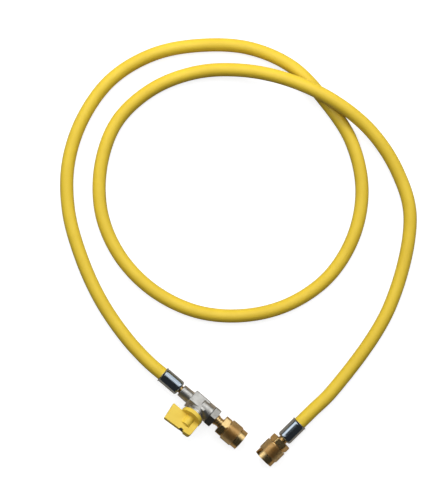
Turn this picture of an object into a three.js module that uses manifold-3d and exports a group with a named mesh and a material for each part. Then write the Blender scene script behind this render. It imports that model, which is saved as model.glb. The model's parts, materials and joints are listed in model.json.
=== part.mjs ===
// Refrigerant charging hose with a ball valve at one end, lying coiled on a floor.
// Millimetres, +Z up. The valve's flow axis runs along +X, and x = 0 is the rim of its ferrule
// until the whole part is moved to the centre of its metal fittings.
import * as THREE from 'three';
import { mergeVertices } from 'three/addons/utils/BufferGeometryUtils.js';
import Module from 'manifold-3d';

const wasm = await Module();
wasm.setup();

// Clearances
const GAP = 0.3;
const RUNNING_GAP = 0.3;

// How far a cut runs past the face that it opens
const OVERSHOOT = 1;

// Hose
const HOSE_RADIUS = 5.5;
const HOSE_BORE_RADIUS = 2.5;
const HOSE_SIDES = 10;
const HOSE_BORE_SIDES = 8;
const HOSE_STEPS = 64;
const CRIMPED_RADIUS = 4.75;

// Ferrules
const FERRULE_LENGTH = 18.6;
const FERRULE_RADIUS = 6.45;
const FERRULE_LIP_RADIUS = 7.05;
const FERRULE_LIP_LENGTH = 1.2;
const FERRULE_NOSE_RADIUS = 1.9;
const FERRULE_END_WALL = 1.2;

// Barbed inserts
const INSERT_BORE_RADIUS = 1.2;
const BARB_DEPTH = 0.35;
const BARB_COUNT = 4;
const BARB_FIRST = 2;
const COLLAR_LENGTH = 1;
const COLLAR_RADIUS = 4.6;
const NECK_RADIUS = 3.35;

// Valve body, along the flow axis from the ferrule's nose
const INSERT_SHOWN = 1.5;
const BODY_NECK_LENGTH = 9.9;
const BODY_NECK_RADIUS = 5.25;
const BODY_NECK_END_RADIUS = 5.6;
const BLOCK_LENGTH = 15;
const BLOCK_SIDE = 11.7;
const BLOCK_DEPTH = 14.6;
const BLOCK_CHAMFER = 0.8;
const BODY_ROUND_LENGTH = 5.95;
const BODY_ROUND_RADIUS = 8;
const INSERT_SOCKET_DEPTH = 6.2;
const PASSAGE_RADIUS = 1.9;
const CAVITY_RADIUS = 4.4;
const CAP_THREAD_RADIUS = 5.7;
const CAP_THREAD_LENGTH = 4.8;

// Ball and seats
const BALL_RADIUS = 4;
const SEAT_THICKNESS = 1.8;
const SEAT_REACH = 4.9;
const SLOT_WIDTH = 1.8;
const SLOT_DEPTH = 1.2;

// Stem, along its own axis from the flow axis, and its place in the block
const STEM_FROM_BLOCK = 10.2;
const STEM_ELEVATION = 32;
const STEM_RADIUS = 2.2;
const STEM_SHOULDER_RADIUS = 3;
const STEM_SHOULDER_START = 4.5;
const STEM_SHOULDER_LENGTH = 1.1;
const STEM_SQUARE = 3.4;
const STEM_SQUARE_LENGTH = 9;
const O_RING_SECTION = 0.35;
const O_RING_STATION = 9;
const BOSS_RADIUS = 7.1;
const BOSS_FLANGE_RADIUS = 7.9;
const BOSS_FLANGE_START = 8.3;
const BOSS_HEIGHT = 10.8;
const BOSS_CHAMFER = 0.6;

// Lever, thicknesses across the wing and stations from its inner face. Its outer edge and the
// wing's tip both slope: by this much for each millimetre along the flow, and by the tip's two reaches.
const LEVER_DISC_RADIUS = 9.6;
const LEVER_DISC_THICKNESS = 3.6;
const LEVER_HEIGHT = 17.6;
const LEVER_EDGE_SLOPE = 0.08;
const WING_INNER_REACH = 18.2;
const WING_OUTER_REACH = 16.6;
const WING_THICKNESS = 3.4;
const WING_TAIL = 9;
const WING_CORNER = 1;
const WING_ROOT = 0.4;
const TAIL_CORNER = 3;
const TAIL_PAD_THICKNESS = 1.6;
const TAIL_PAD_START = 2.9;
const HUB_RADIUS = 4.1;
const HUB_HEIGHT = 11.9;
const SCREW_RADIUS = 1;
const SCREW_HEAD_RADIUS = 1.9;
const SCREW_HEAD_LENGTH = 1;
const SCREW_RECESS = 1.5;
const SCREW_SLOT_WIDTH = 0.6;
const SCREW_SLOT_DEPTH = 0.5;
const SCREW_THREAD_DEPTH = 5;

// End cap and outlet stem
const CAP_HEX_FLATS = 15.9;
const CAP_HEX_LENGTH = 5.4;
const CAP_HEX_CHAMFER = 0.5;
const OUTLET_SPIGOT_RADIUS = 3.3;
const OUTLET_SPIGOT_LENGTH = 6.5;
const OUTLET_SHOULDER_RADIUS = 4.5;
const OUTLET_SHOULDER_LENGTH = 1.8;
const OUTLET_SHOWN = 6.35;
const END_STEM_SHOWN = 1.9;

// Swivel nut and what it holds, stations from the nut's back
const NUT_CORNER_RADIUS = 9;
const NUT_LENGTH = 22;
const NUT_HEX_FLATS = 16;
const NUT_HEX_LENGTH = 5.4;
const NUT_HEX_CHAMFER = 0.7;
const NUT_GROOVE_RADIUS = 7.8;
const NUT_GROOVE_LENGTH = 0.7;
const NUT_KNURL_LENGTH = 10.1;
const NUT_KNURL_RADIUS = 9.3;
const NUT_KNURL_CHAMFER = 0.4;
const NUT_BAND_RADIUS = 8.5;
const NUT_BAND_CHAMFER = 0.5;
const NUT_BACK_WALL = 4.5;
const THREAD_RADIUS = 5.05;
const THREAD_RELIEF_RADIUS = 5.7;
const THREAD_CHAMFER = 0.75;
const SWIVEL_RADIUS = 4;
const SWIVEL_HEAD_RADIUS = 4.75;
const SWIVEL_HEAD_LENGTH = 3;
const GASKET_LENGTH = 2;
const GASKET_BORE_RADIUS = 1.7;
const FLOW_BORE_RADIUS = 1.6;
const DEPRESSOR_RADIUS = 1.3;
const DEPRESSOR_LENGTH = 3.4;
const DEPRESSOR_PIN_RADIUS = 0.6;
const DEPRESSOR_PIN_REACH = 1.4;

// Where the plain end's ferrule rim lies, and the way that end points, from +X
const END_RIM_X = 111.6;
const END_RIM_Y = 42.3;
const END_HEADING = 265;

// Facets round a turned piece
const FINE_FACETS = 24;
const SMALL_FACETS = 16;
const BALL_RINGS = 10;
const O_RING_FACETS = 6;

// Stations along the flow axis, from the rim of the valve's ferrule
const BODY_START = FERRULE_LENGTH + INSERT_SHOWN;
const BLOCK_START = BODY_START + BODY_NECK_LENGTH;
const BLOCK_END = BLOCK_START + BLOCK_LENGTH;
const STEM_STATION = BLOCK_START + STEM_FROM_BLOCK;
const BODY_END = BLOCK_END + BODY_ROUND_LENGTH;
const CAP_START = BODY_END + GAP;
const CAP_END = CAP_START + CAP_HEX_LENGTH;
const SPIGOT_START = CAP_END + GAP - OUTLET_SPIGOT_LENGTH;
const VALVE_NUT_START = CAP_END + OUTLET_SHOWN;
const END_NUT_START = FERRULE_LENGTH + END_STEM_SHOWN;

const AXIS_HEIGHT = NUT_KNURL_RADIUS;
const HOSE_END = FERRULE_LENGTH - FERRULE_END_WALL - COLLAR_LENGTH - 2 * GAP;
const FLOOR_RUN = HOSE_RADIUS;
const EASED_RUN = FLOOR_RUN + GAP;
const LEAD = 14;

// Route of the hose's centre line between its two straight ends: x, y, height
const HOSE_ROUTE = [
  [-41, 3, 7],
  [-78, 13, EASED_RUN],
  [-114, 30, FLOOR_RUN],
  [-146, 52, FLOOR_RUN],
  [-171, 81, FLOOR_RUN],
  [-186, 117, FLOOR_RUN],
  [-189, 157, FLOOR_RUN],
  [-176, 195, FLOOR_RUN],
  [-151, 226, FLOOR_RUN],
  [-119, 250, FLOOR_RUN],
  [-82, 261, FLOOR_RUN],
  [-43, 257, FLOOR_RUN],
  [-6, 246, FLOOR_RUN],
  [26, 222, FLOOR_RUN],
  [46, 188, FLOOR_RUN],
  [52, 149, FLOOR_RUN],
  [42, 111, FLOOR_RUN],
  [20, 80, FLOOR_RUN],
  [-12, 57, FLOOR_RUN],
  [-51, 47, FLOOR_RUN],
  [-90, 51, FLOOR_RUN],
  [-124, 68, FLOOR_RUN],
  [-150, 98, FLOOR_RUN],
  [-163, 134, FLOOR_RUN],
  [-158, 173, EASED_RUN],
  [-139, 207, 6.8],
  [-110, 233, 10.6],
  [-75, 251, 16.5],
  [-37, 261, 16.5],
  [2, 262, 10.8],
  [40, 251, 6.8],
  [72, 229, EASED_RUN],
  [107, 160, EASED_RUN],
  [115, 80, 7.8],
];

const COLOURS = {
  hose: { color: 0xe6c23c, roughness: 0.55, metalness: 0 },
  lever: { color: 0xf0cc4e, roughness: 0.4, metalness: 0 },
  zinc: { color: 0xc9d0d6, roughness: 0.18, metalness: 1 },
  nickel: { color: 0xa9a59c, roughness: 0.4, metalness: 1 },
  brass: { color: 0xc99a4a, roughness: 0.3, metalness: 1 },
  steel: { color: 0xb4b6b8, roughness: 0.3, metalness: 1 },
  seat: { color: 0xf1efe8, roughness: 0.5, metalness: 0 },
  rubber: { color: 0x1c1c1c, roughness: 0.8, metalness: 0 },
};

// Keeps only positions, welds them and drops the triangles that collapse at an axis.
function weld(geometry) {
  const bare = geometry.clone();
  bare.deleteAttribute('normal');
  bare.deleteAttribute('uv');
  const merged = mergeVertices(bare, 1e-4);
  const source = merged.getIndex().array;
  const kept = [];
  for (let i = 0; i < source.length; i += 3) {
    const [a, b, c] = [source[i], source[i + 1], source[i + 2]];
    if (a !== b && b !== c && c !== a) kept.push(a, b, c);
  }
  merged.setIndex(kept);
  return merged;
}

function toManifold(geometry) {
  const welded = weld(geometry);
  const mesh = new wasm.Mesh({
    numProp: 3,
    vertProperties: new Float32Array(welded.getAttribute('position').array),
    triVerts: new Uint32Array(welded.getIndex().array),
  });
  return new wasm.Manifold(mesh);
}

function fromManifold(body) {
  const mesh = body.getMesh();
  const geometry = new THREE.BufferGeometry();
  geometry.setAttribute('position', new THREE.BufferAttribute(new Float32Array(mesh.vertProperties), 3));
  geometry.setIndex(Array.from(mesh.triVerts));
  geometry.computeVertexNormals();
  return geometry;
}

// Joins the first list of geometries and cuts the second list out of the result.
function shaped(joined, cuts = []) {
  let body = toManifold(joined[0]);
  for (const piece of joined.slice(1)) body = body.add(toManifold(piece));
  for (const piece of cuts) body = body.subtract(toManifold(piece));
  return fromManifold(body);
}

function common(first, second) {
  return fromManifold(toManifold(first).intersect(toManifold(second)));
}

// A body of revolution about +X from its outline of [station, radius] points.
function turned(outline, facets = FINE_FACETS) {
  const profile = outline.map(([station, radius]) => new THREE.Vector2(radius, station));
  if (THREE.ShapeUtils.area(profile) < 0) profile.reverse();
  if (profile[0].x > 0) profile.push(profile[0].clone());
  return new THREE.LatheGeometry(profile, facets).rotateZ(-Math.PI / 2);
}

function rod(start, end, radius, facets = SMALL_FACETS) {
  return turned([[start, 0], [start, radius], [end, radius], [end, 0]], facets);
}

function hexBar(start, end, flats, turn = 0) {
  const radius = flats / Math.sqrt(3);
  const prism = new THREE.CylinderGeometry(radius, radius, end - start, 6).rotateZ(-Math.PI / 2);
  return prism.rotateX(turn).translate((start + end) / 2, 0, 0);
}

// A box from its start and end along +X and its two widths.
function bar(start, end, width, depth) {
  return new THREE.BoxGeometry(end - start, width, depth).translate((start + end) / 2, 0, 0);
}

// Frames of the stem and of the two ends
const tilt = THREE.MathUtils.degToRad(STEM_ELEVATION);
const flowAxis = new THREE.Vector3(1, 0, 0);
const stemAxis = new THREE.Vector3(0, -Math.cos(tilt), Math.sin(tilt));
const wingNormal = new THREE.Vector3().crossVectors(stemAxis, flowAxis);
const stemFrame = new THREE.Matrix4().makeBasis(stemAxis, flowAxis, wingNormal);
stemFrame.setPosition(STEM_STATION, 0, 0);
const valveFrame = new THREE.Matrix4().makeTranslation(0, 0, AXIS_HEIGHT);
const endFrame = new THREE.Matrix4().makeRotationZ(THREE.MathUtils.degToRad(END_HEADING));
endFrame.setPosition(END_RIM_X, END_RIM_Y, AXIS_HEIGHT);

// The hose: a tube along its route, with both ends squeezed where a ferrule is crimped on it.
function hose() {
  const lead = [HOSE_END, 0, -LEAD].map((station) => new THREE.Vector3(station, 0, 0));
  const first = lead.map((point) => point.clone().applyMatrix4(valveFrame));
  const last = lead.map((point) => point.clone().applyMatrix4(endFrame)).reverse();
  const middle = HOSE_ROUTE.map((point) => new THREE.Vector3(...point));
  const path = new THREE.CatmullRomCurve3([...first, ...middle, ...last], false, 'centripetal');
  const section = new THREE.Shape(circle(HOSE_RADIUS, HOSE_SIDES));
  section.holes.push(new THREE.Path(circle(HOSE_BORE_RADIUS, HOSE_BORE_SIDES)));
  const tube = new THREE.ExtrudeGeometry(section, { steps: HOSE_STEPS, extrudePath: path });
  const squeeze = turned([
    [FERRULE_LIP_LENGTH, CRIMPED_RADIUS],
    [FERRULE_LIP_LENGTH, FERRULE_LIP_RADIUS],
    [FERRULE_LENGTH, FERRULE_LIP_RADIUS],
    [FERRULE_LENGTH, CRIMPED_RADIUS],
  ]);
  return shaped([tube], [squeeze.clone().applyMatrix4(valveFrame), squeeze.clone().applyMatrix4(endFrame)]);
}

function circle(radius, sides) {
  const turnOf = (i) => (2 * Math.PI * i) / sides;
  return Array.from({ length: sides }, (_, i) => (
    new THREE.Vector2(radius * Math.cos(turnOf(i)), radius * Math.sin(turnOf(i)))
  ));
}

// A crimped sleeve: a flared lip at the hose, a round nose and an end wall behind the collar.
function ferrule() {
  const bore = CRIMPED_RADIUS + GAP;
  const mouth = HOSE_RADIUS + GAP;
  const crimpStart = FERRULE_LIP_LENGTH + GAP;
  const outer = [[0, FERRULE_LIP_RADIUS], [FERRULE_LIP_LENGTH, FERRULE_RADIUS]];
  const noseSteps = 4;
  for (let i = 0; i <= noseSteps; i += 1) {
    const angle = (Math.PI / 2) * (i / noseSteps);
    outer.push([
      FERRULE_LENGTH - FERRULE_NOSE_RADIUS * (1 - Math.sin(angle)),
      FERRULE_RADIUS - FERRULE_NOSE_RADIUS * (1 - Math.cos(angle)),
    ]);
  }
  const inner = [
    [FERRULE_LENGTH, NECK_RADIUS + GAP],
    [FERRULE_LENGTH - FERRULE_END_WALL, NECK_RADIUS + GAP],
    [FERRULE_LENGTH - FERRULE_END_WALL, bore],
    [crimpStart + mouth - bore, bore],
    [crimpStart, mouth],
    [0, mouth],
  ];
  return turned([...outer, ...inner]);
}

// Outside of an insert from its tip in the hose to the neck that leaves the ferrule.
function barbOutline() {
  const crest = HOSE_BORE_RADIUS - GAP;
  const root = crest - BARB_DEPTH;
  const pitch = (HOSE_END - BARB_FIRST) / BARB_COUNT;
  const outline = [];
  for (let i = 0; i < BARB_COUNT; i += 1) {
    const start = BARB_FIRST + i * pitch;
    outline.push([start, root], [start + pitch, crest]);
  }
  const collarEnd = HOSE_END + GAP + COLLAR_LENGTH;
  outline.push([HOSE_END + GAP, root], [HOSE_END + GAP, COLLAR_RADIUS]);
  outline.push([collarEnd, COLLAR_RADIUS], [collarEnd, NECK_RADIUS]);
  return outline;
}

function valveInsert() {
  const end = BODY_START + INSERT_SOCKET_DEPTH - GAP;
  return turned([
    ...barbOutline(),
    [end, NECK_RADIUS],
    [end, INSERT_BORE_RADIUS],
    [BARB_FIRST, INSERT_BORE_RADIUS],
  ], SMALL_FACETS);
}

// Outside of a swivel stem from its tube through the nut's back to the face under the gasket.
function swivelOutline(nutStart) {
  const headStart = nutStart + NUT_BACK_WALL + GAP;
  const headEnd = headStart + SWIVEL_HEAD_LENGTH;
  return [
    [headStart, SWIVEL_RADIUS],
    [headStart, SWIVEL_HEAD_RADIUS],
    [headEnd, SWIVEL_HEAD_RADIUS],
  ];
}

function endStem() {
  const step = FERRULE_LENGTH + GAP;
  const head = swivelOutline(END_NUT_START);
  return turned([
    ...barbOutline(),
    [step, NECK_RADIUS],
    [step, SWIVEL_RADIUS],
    ...head,
    [head.at(-1)[0], INSERT_BORE_RADIUS],
    [BARB_FIRST, INSERT_BORE_RADIUS],
  ], SMALL_FACETS);
}

function outletStem() {
  const shoulderStart = CAP_END + GAP;
  const shoulderEnd = shoulderStart + OUTLET_SHOULDER_LENGTH;
  const head = swivelOutline(VALVE_NUT_START);
  const headEnd = head.at(-1)[0];
  const pocketStart = headEnd - DEPRESSOR_LENGTH;
  return turned([
    [SPIGOT_START, OUTLET_SPIGOT_RADIUS],
    [shoulderStart, OUTLET_SPIGOT_RADIUS],
    [shoulderStart, OUTLET_SHOULDER_RADIUS],
    [shoulderEnd, OUTLET_SHOULDER_RADIUS],
    [shoulderEnd, SWIVEL_RADIUS],
    ...head,
    [headEnd, FLOW_BORE_RADIUS],
    [pocketStart, FLOW_BORE_RADIUS],
    [pocketStart, INSERT_BORE_RADIUS],
    [SPIGOT_START, INSERT_BORE_RADIUS],
  ], SMALL_FACETS);
}

function gasketStart(nutStart) {
  return swivelOutline(nutStart).at(-1)[0] + GAP;
}

function gasket(nutStart) {
  const start = gasketStart(nutStart);
  const end = start + GASKET_LENGTH;
  return turned([
    [start, GASKET_BORE_RADIUS],
    [start, SWIVEL_HEAD_RADIUS],
    [end, SWIVEL_HEAD_RADIUS],
    [end, GASKET_BORE_RADIUS],
  ], SMALL_FACETS);
}

// A four-winged core that opens the valve in a service port, with a pin past the gasket.
function depressor(nutStart) {
  const gasketEnd = gasketStart(nutStart) + GASKET_LENGTH;
  const start = gasketStart(nutStart) - DEPRESSOR_LENGTH;
  const wing = 2 * DEPRESSOR_RADIUS;
  const cross = shaped([
    bar(start, gasketEnd, wing, DEPRESSOR_PIN_RADIUS),
    bar(start, gasketEnd, DEPRESSOR_PIN_RADIUS, wing),
  ]);
  const wings = common(cross, rod(start, gasketEnd, DEPRESSOR_RADIUS));
  return shaped([wings, rod(start, gasketEnd + DEPRESSOR_PIN_REACH, DEPRESSOR_PIN_RADIUS)]);
}

// A swivel nut: hexagon, knurled grip, plain mouth band, and a bore that holds the stem's head.
function swivelNut(start, hexTurn) {
  const hexEnd = start + NUT_HEX_LENGTH;
  const knurlStart = hexEnd + NUT_GROOVE_LENGTH;
  const knurlEnd = knurlStart + NUT_KNURL_LENGTH;
  const end = start + NUT_LENGTH;
  const trim = turned([
    [start, 0],
    [start, NUT_CORNER_RADIUS - NUT_HEX_CHAMFER],
    [start + NUT_HEX_CHAMFER, NUT_CORNER_RADIUS],
    [hexEnd - NUT_HEX_CHAMFER, NUT_CORNER_RADIUS],
    [hexEnd, NUT_CORNER_RADIUS - NUT_HEX_CHAMFER],
    [hexEnd, 0],
  ]);
  const hexagon = common(hexBar(start, hexEnd, NUT_HEX_FLATS, hexTurn), trim);
  const grip = turned([
    [start + NUT_HEX_CHAMFER, 0],
    [start + NUT_HEX_CHAMFER, NUT_GROOVE_RADIUS],
    [knurlStart, NUT_GROOVE_RADIUS],
    [knurlStart, NUT_KNURL_RADIUS - NUT_KNURL_CHAMFER],
    [knurlStart + NUT_KNURL_CHAMFER, NUT_KNURL_RADIUS],
    [knurlEnd - NUT_KNURL_CHAMFER, NUT_KNURL_RADIUS],
    [knurlEnd, NUT_KNURL_RADIUS - NUT_KNURL_CHAMFER],
    [knurlEnd, NUT_BAND_RADIUS],
    [end - NUT_BAND_CHAMFER, NUT_BAND_RADIUS],
    [end, NUT_BAND_RADIUS - NUT_BAND_CHAMFER],
    [end, 0],
  ]);
  const reliefEnd = gasketStart(start) + GASKET_LENGTH + GAP;
  const bore = turned([
    [start - OVERSHOOT, 0],
    [start - OVERSHOOT, SWIVEL_RADIUS + RUNNING_GAP],
    [start + NUT_BACK_WALL, SWIVEL_RADIUS + RUNNING_GAP],
    [start + NUT_BACK_WALL, THREAD_RELIEF_RADIUS],
    [reliefEnd, THREAD_RELIEF_RADIUS],
    [reliefEnd, THREAD_RADIUS],
    [end - THREAD_CHAMFER, THREAD_RADIUS],
    [end + THREAD_CHAMFER, THREAD_RADIUS + 2 * THREAD_CHAMFER],
    [end + THREAD_CHAMFER, 0],
  ]);
  return shaped([hexagon, grip], [bore]);
}

// Valve body: neck, block, round end and stem boss in one casting, bored from three sides.
function valveBody() {
  const neck = turned([
    [BODY_START, 0],
    [BODY_START, BODY_NECK_RADIUS],
    [BLOCK_START, BODY_NECK_END_RADIUS],
    [BLOCK_END, BODY_NECK_END_RADIUS],
    [BLOCK_END, 0],
  ]);
  const round = rod(STEM_STATION, BODY_END, BODY_ROUND_RADIUS, FINE_FACETS);
  const boss = turned([
    [0, 0],
    [0, BOSS_RADIUS],
    [BOSS_FLANGE_START, BOSS_RADIUS],
    [BOSS_FLANGE_START, BOSS_FLANGE_RADIUS],
    [BOSS_HEIGHT - BOSS_CHAMFER, BOSS_FLANGE_RADIUS],
    [BOSS_HEIGHT, BOSS_FLANGE_RADIUS - BOSS_CHAMFER],
    [BOSS_HEIGHT, 0],
  ]).applyMatrix4(stemFrame);
  const cavityStart = STEM_STATION - SEAT_REACH - GAP;
  const socketEnd = BODY_START + INSERT_SOCKET_DEPTH;
  const stemCuts = [
    rod(0, BOSS_HEIGHT + OVERSHOOT, STEM_RADIUS + RUNNING_GAP),
    rod(0, STEM_SHOULDER_START + STEM_SHOULDER_LENGTH + GAP, STEM_SHOULDER_RADIUS + GAP),
  ].map((cut) => cut.applyMatrix4(stemFrame));
  return shaped([block(), neck, round, boss], [
    rod(BODY_START - OVERSHOOT, socketEnd, NECK_RADIUS + GAP),
    rod(socketEnd - OVERSHOOT, cavityStart + OVERSHOOT, PASSAGE_RADIUS),
    rod(cavityStart, BODY_END + OVERSHOOT, CAVITY_RADIUS, FINE_FACETS),
    rod(BODY_END - CAP_THREAD_LENGTH, BODY_END + OVERSHOOT, CAP_THREAD_RADIUS + GAP, FINE_FACETS),
    ...stemCuts,
  ]);
}

function block() {
  const halfDepth = BLOCK_DEPTH / 2 - BLOCK_CHAMFER;
  const halfSide = BLOCK_SIDE / 2 - BLOCK_CHAMFER;
  const outline = new THREE.Shape();
  outline.moveTo(-halfDepth, -halfSide);
  outline.lineTo(halfDepth, -halfSide);
  outline.lineTo(halfDepth, halfSide);
  outline.lineTo(-halfDepth, halfSide);
  const solid = new THREE.ExtrudeGeometry(outline, {
    depth: BLOCK_END - BLOCK_START - 2 * BLOCK_CHAMFER,
    bevelSize: BLOCK_CHAMFER,
    bevelThickness: BLOCK_CHAMFER,
    bevelSegments: 1,
  });
  const frame = new THREE.Matrix4().makeBasis(wingNormal, stemAxis, flowAxis);
  return solid.applyMatrix4(frame.setPosition(BLOCK_START + BLOCK_CHAMFER, 0, 0));
}

// Ball, seats and stem, in the stem's frame: +X out along the stem, +Y along the flow
function ball() {
  const reach = BALL_RADIUS + OVERSHOOT;
  const bore = rod(-reach, reach, PASSAGE_RADIUS).rotateZ(Math.PI / 2);
  const slot = bar(BALL_RADIUS - SLOT_DEPTH, reach, SLOT_WIDTH, 2 * reach);
  return shaped([sphere(BALL_RADIUS)], [bore, slot]);
}

function sphere(radius) {
  return new THREE.SphereGeometry(radius, SMALL_FACETS, BALL_RINGS);
}

function seat(side) {
  const back = side * SEAT_REACH;
  const face = side * (SEAT_REACH - SEAT_THICKNESS);
  const ring = turned([
    [back, PASSAGE_RADIUS],
    [back, CAVITY_RADIUS - GAP],
    [face, CAVITY_RADIUS - GAP],
    [face, PASSAGE_RADIUS],
  ], SMALL_FACETS);
  return shaped([ring], [sphere(BALL_RADIUS + GAP)]).translate(STEM_STATION, 0, 0);
}

const leverStart = BOSS_HEIGHT + GAP;
const stemEnd = leverStart + STEM_SQUARE_LENGTH;
const grooveDepth = 2 * O_RING_SECTION + GAP;

function stem() {
  const shoulderEnd = STEM_SHOULDER_START + STEM_SHOULDER_LENGTH;
  const grooveHalf = O_RING_SECTION + GAP;
  const shaft = turned([
    [STEM_SHOULDER_START, 0],
    [STEM_SHOULDER_START, STEM_SHOULDER_RADIUS],
    [shoulderEnd, STEM_SHOULDER_RADIUS],
    [shoulderEnd, STEM_RADIUS],
    [O_RING_STATION - grooveHalf, STEM_RADIUS],
    [O_RING_STATION - grooveHalf, STEM_RADIUS - grooveDepth],
    [O_RING_STATION + grooveHalf, STEM_RADIUS - grooveDepth],
    [O_RING_STATION + grooveHalf, STEM_RADIUS],
    [leverStart, STEM_RADIUS],
    [leverStart, 0],
  ], SMALL_FACETS);
  const tangStart = BALL_RADIUS - SLOT_DEPTH + GAP;
  const tang = bar(tangStart, STEM_SHOULDER_START + GAP, SLOT_WIDTH - 2 * GAP, 2 * STEM_RADIUS);
  const square = bar(BOSS_HEIGHT, stemEnd, STEM_SQUARE, STEM_SQUARE);
  const thread = rod(stemEnd - SCREW_THREAD_DEPTH, stemEnd + OVERSHOOT, SCREW_RADIUS + GAP);
  return shaped([shaft, tang, square], [thread]);
}

function stemRing() {
  const middle = STEM_RADIUS - O_RING_SECTION;
  const ring = new THREE.TorusGeometry(middle, O_RING_SECTION, O_RING_FACETS, SMALL_FACETS);
  return ring.rotateY(Math.PI / 2).translate(O_RING_STATION, 0, 0);
}

// Lever: a disc over the boss, a flat wing that shows the flow's direction, a hub and a tail pad.
const leverEnd = leverStart + LEVER_HEIGHT;
const wingStart = leverStart + LEVER_DISC_THICKNESS - WING_ROOT;

// Height of the lever's sloping outer edge at a place along the flow.
function edgeAt(along) {
  return leverEnd - LEVER_EDGE_SLOPE * along;
}

function wingPlate(innerReach, outerReach, thickness, offset) {
  const outline = new THREE.Shape();
  const cornerStart = -outerReach + WING_CORNER;
  const roundStart = WING_TAIL - TAIL_CORNER;
  const roundCentre = edgeAt(roundStart) - TAIL_CORNER;
  outline.moveTo(wingStart, -innerReach);
  outline.lineTo(edgeAt(-outerReach) - WING_CORNER, -outerReach);
  outline.lineTo(edgeAt(cornerStart), cornerStart);
  outline.lineTo(edgeAt(roundStart), roundStart);
  outline.absarc(roundCentre, roundStart, TAIL_CORNER, 0, Math.PI / 2, false);
  outline.lineTo(wingStart, WING_TAIL);
  const plate = { depth: thickness, bevelEnabled: false, curveSegments: 5 };
  return new THREE.ExtrudeGeometry(outline, plate).translate(0, 0, offset);
}

function lever() {
  const disc = rod(leverStart, leverStart + LEVER_DISC_THICKNESS, LEVER_DISC_RADIUS, FINE_FACETS);
  const hub = rod(leverStart, leverStart + HUB_HEIGHT, HUB_RADIUS, FINE_FACETS);
  const wing = wingPlate(WING_INNER_REACH, WING_OUTER_REACH, WING_THICKNESS, -WING_THICKNESS / 2);
  const padBottom = -WING_THICKNESS / 2 - TAIL_PAD_THICKNESS;
  const pad = wingPlate(TAIL_PAD_START, TAIL_PAD_START, TAIL_PAD_THICKNESS + GAP, padBottom);
  const socket = STEM_SQUARE + 2 * GAP;
  return shaped([disc, hub, wing, pad], [
    bar(leverStart - OVERSHOOT, stemEnd + GAP, socket, socket),
    rod(stemEnd, leverEnd + OVERSHOOT, SCREW_RADIUS + GAP),
    rod(leverEnd - SCREW_RECESS, leverEnd + OVERSHOOT, SCREW_HEAD_RADIUS + GAP),
  ]);
}

function leverScrew() {
  const headStart = leverEnd - SCREW_RECESS + GAP;
  const headEnd = headStart + SCREW_HEAD_LENGTH;
  const body = turned([
    [stemEnd - SCREW_THREAD_DEPTH + GAP, 0],
    [stemEnd - SCREW_THREAD_DEPTH + GAP, SCREW_RADIUS],
    [headStart, SCREW_RADIUS],
    [headStart, SCREW_HEAD_RADIUS],
    [headEnd, SCREW_HEAD_RADIUS],
    [headEnd, 0],
  ], SMALL_FACETS);
  const slotLength = 2 * (SCREW_HEAD_RADIUS + OVERSHOOT);
  const slot = bar(headEnd - SCREW_SLOT_DEPTH, headEnd + OVERSHOOT, SCREW_SLOT_WIDTH, slotLength);
  return shaped([body], [slot]);
}

// End cap: a nose against the outlet seat, a threaded body, a hexagon and the outlet's socket.
function endCap() {
  const noseStart = STEM_STATION + SEAT_REACH + GAP;
  const threadStart = BODY_END - CAP_THREAD_LENGTH + GAP;
  const socketStart = SPIGOT_START - GAP;
  const core = turned([
    [noseStart, PASSAGE_RADIUS],
    [noseStart, CAVITY_RADIUS - GAP],
    [threadStart, CAVITY_RADIUS - GAP],
    [threadStart, CAP_THREAD_RADIUS],
    [CAP_END, CAP_THREAD_RADIUS],
    [CAP_END, OUTLET_SPIGOT_RADIUS + GAP],
    [socketStart, OUTLET_SPIGOT_RADIUS + GAP],
    [socketStart, PASSAGE_RADIUS],
  ]);
  const corner = CAP_HEX_FLATS / Math.sqrt(3);
  const trim = turned([
    [CAP_START, 0],
    [CAP_START, corner],
    [CAP_END - CAP_HEX_CHAMFER, corner],
    [CAP_END, corner - 2 * CAP_HEX_CHAMFER],
    [CAP_END, 0],
  ]);
  const hexagon = common(hexBar(CAP_START, CAP_END, CAP_HEX_FLATS), trim);
  return shaped([core, hexagon], [rod(socketStart, CAP_END + OVERSHOOT, OUTLET_SPIGOT_RADIUS + GAP)]);
}

function named(name, geometry, finish) {
  const mesh = new THREE.Mesh(geometry, new THREE.MeshStandardMaterial(COLOURS[finish]));
  mesh.name = name;
  return mesh;
}

const stemGroup = new THREE.Group();
stemGroup.applyMatrix4(stemFrame);
stemGroup.add(
  named('ball', ball(), 'steel'),
  named('stem', stem(), 'brass'),
  named('stem_o_ring', stemRing(), 'rubber'),
  named('lever', lever(), 'lever'),
  named('lever_screw', leverScrew(), 'steel'),
);

const valveEnd = new THREE.Group();
valveEnd.applyMatrix4(valveFrame);
valveEnd.add(
  stemGroup,
  named('valve_ferrule', ferrule(), 'zinc'),
  named('valve_insert', valveInsert(), 'brass'),
  named('valve_body', valveBody(), 'nickel'),
  named('inlet_seat', seat(-1), 'seat'),
  named('outlet_seat', seat(1), 'seat'),
  named('end_cap', endCap(), 'nickel'),
  named('outlet_stem', outletStem(), 'brass'),
  named('valve_gasket', gasket(VALVE_NUT_START), 'rubber'),
  named('core_depressor', depressor(VALVE_NUT_START), 'brass'),
  named('valve_nut', swivelNut(VALVE_NUT_START, 0), 'brass'),
);

const plainEnd = new THREE.Group();
plainEnd.applyMatrix4(endFrame);
plainEnd.add(
  named('end_ferrule', ferrule(), 'zinc'),
  named('end_stem', endStem(), 'brass'),
  named('end_gasket', gasket(END_NUT_START), 'rubber'),
  named('end_nut', swivelNut(END_NUT_START, Math.PI / 6), 'brass'),
);

const part = new THREE.Group();
part.add(valveEnd, plainEnd);
part.updateMatrixWorld(true);
const fittings = new THREE.Box3().setFromObject(part, true);
const middle = fittings.getCenter(new THREE.Vector3());
part.add(named('hose', hose(), 'hose'));
part.position.set(-middle.x, -middle.y, -fittings.min.z);

export default part;
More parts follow.
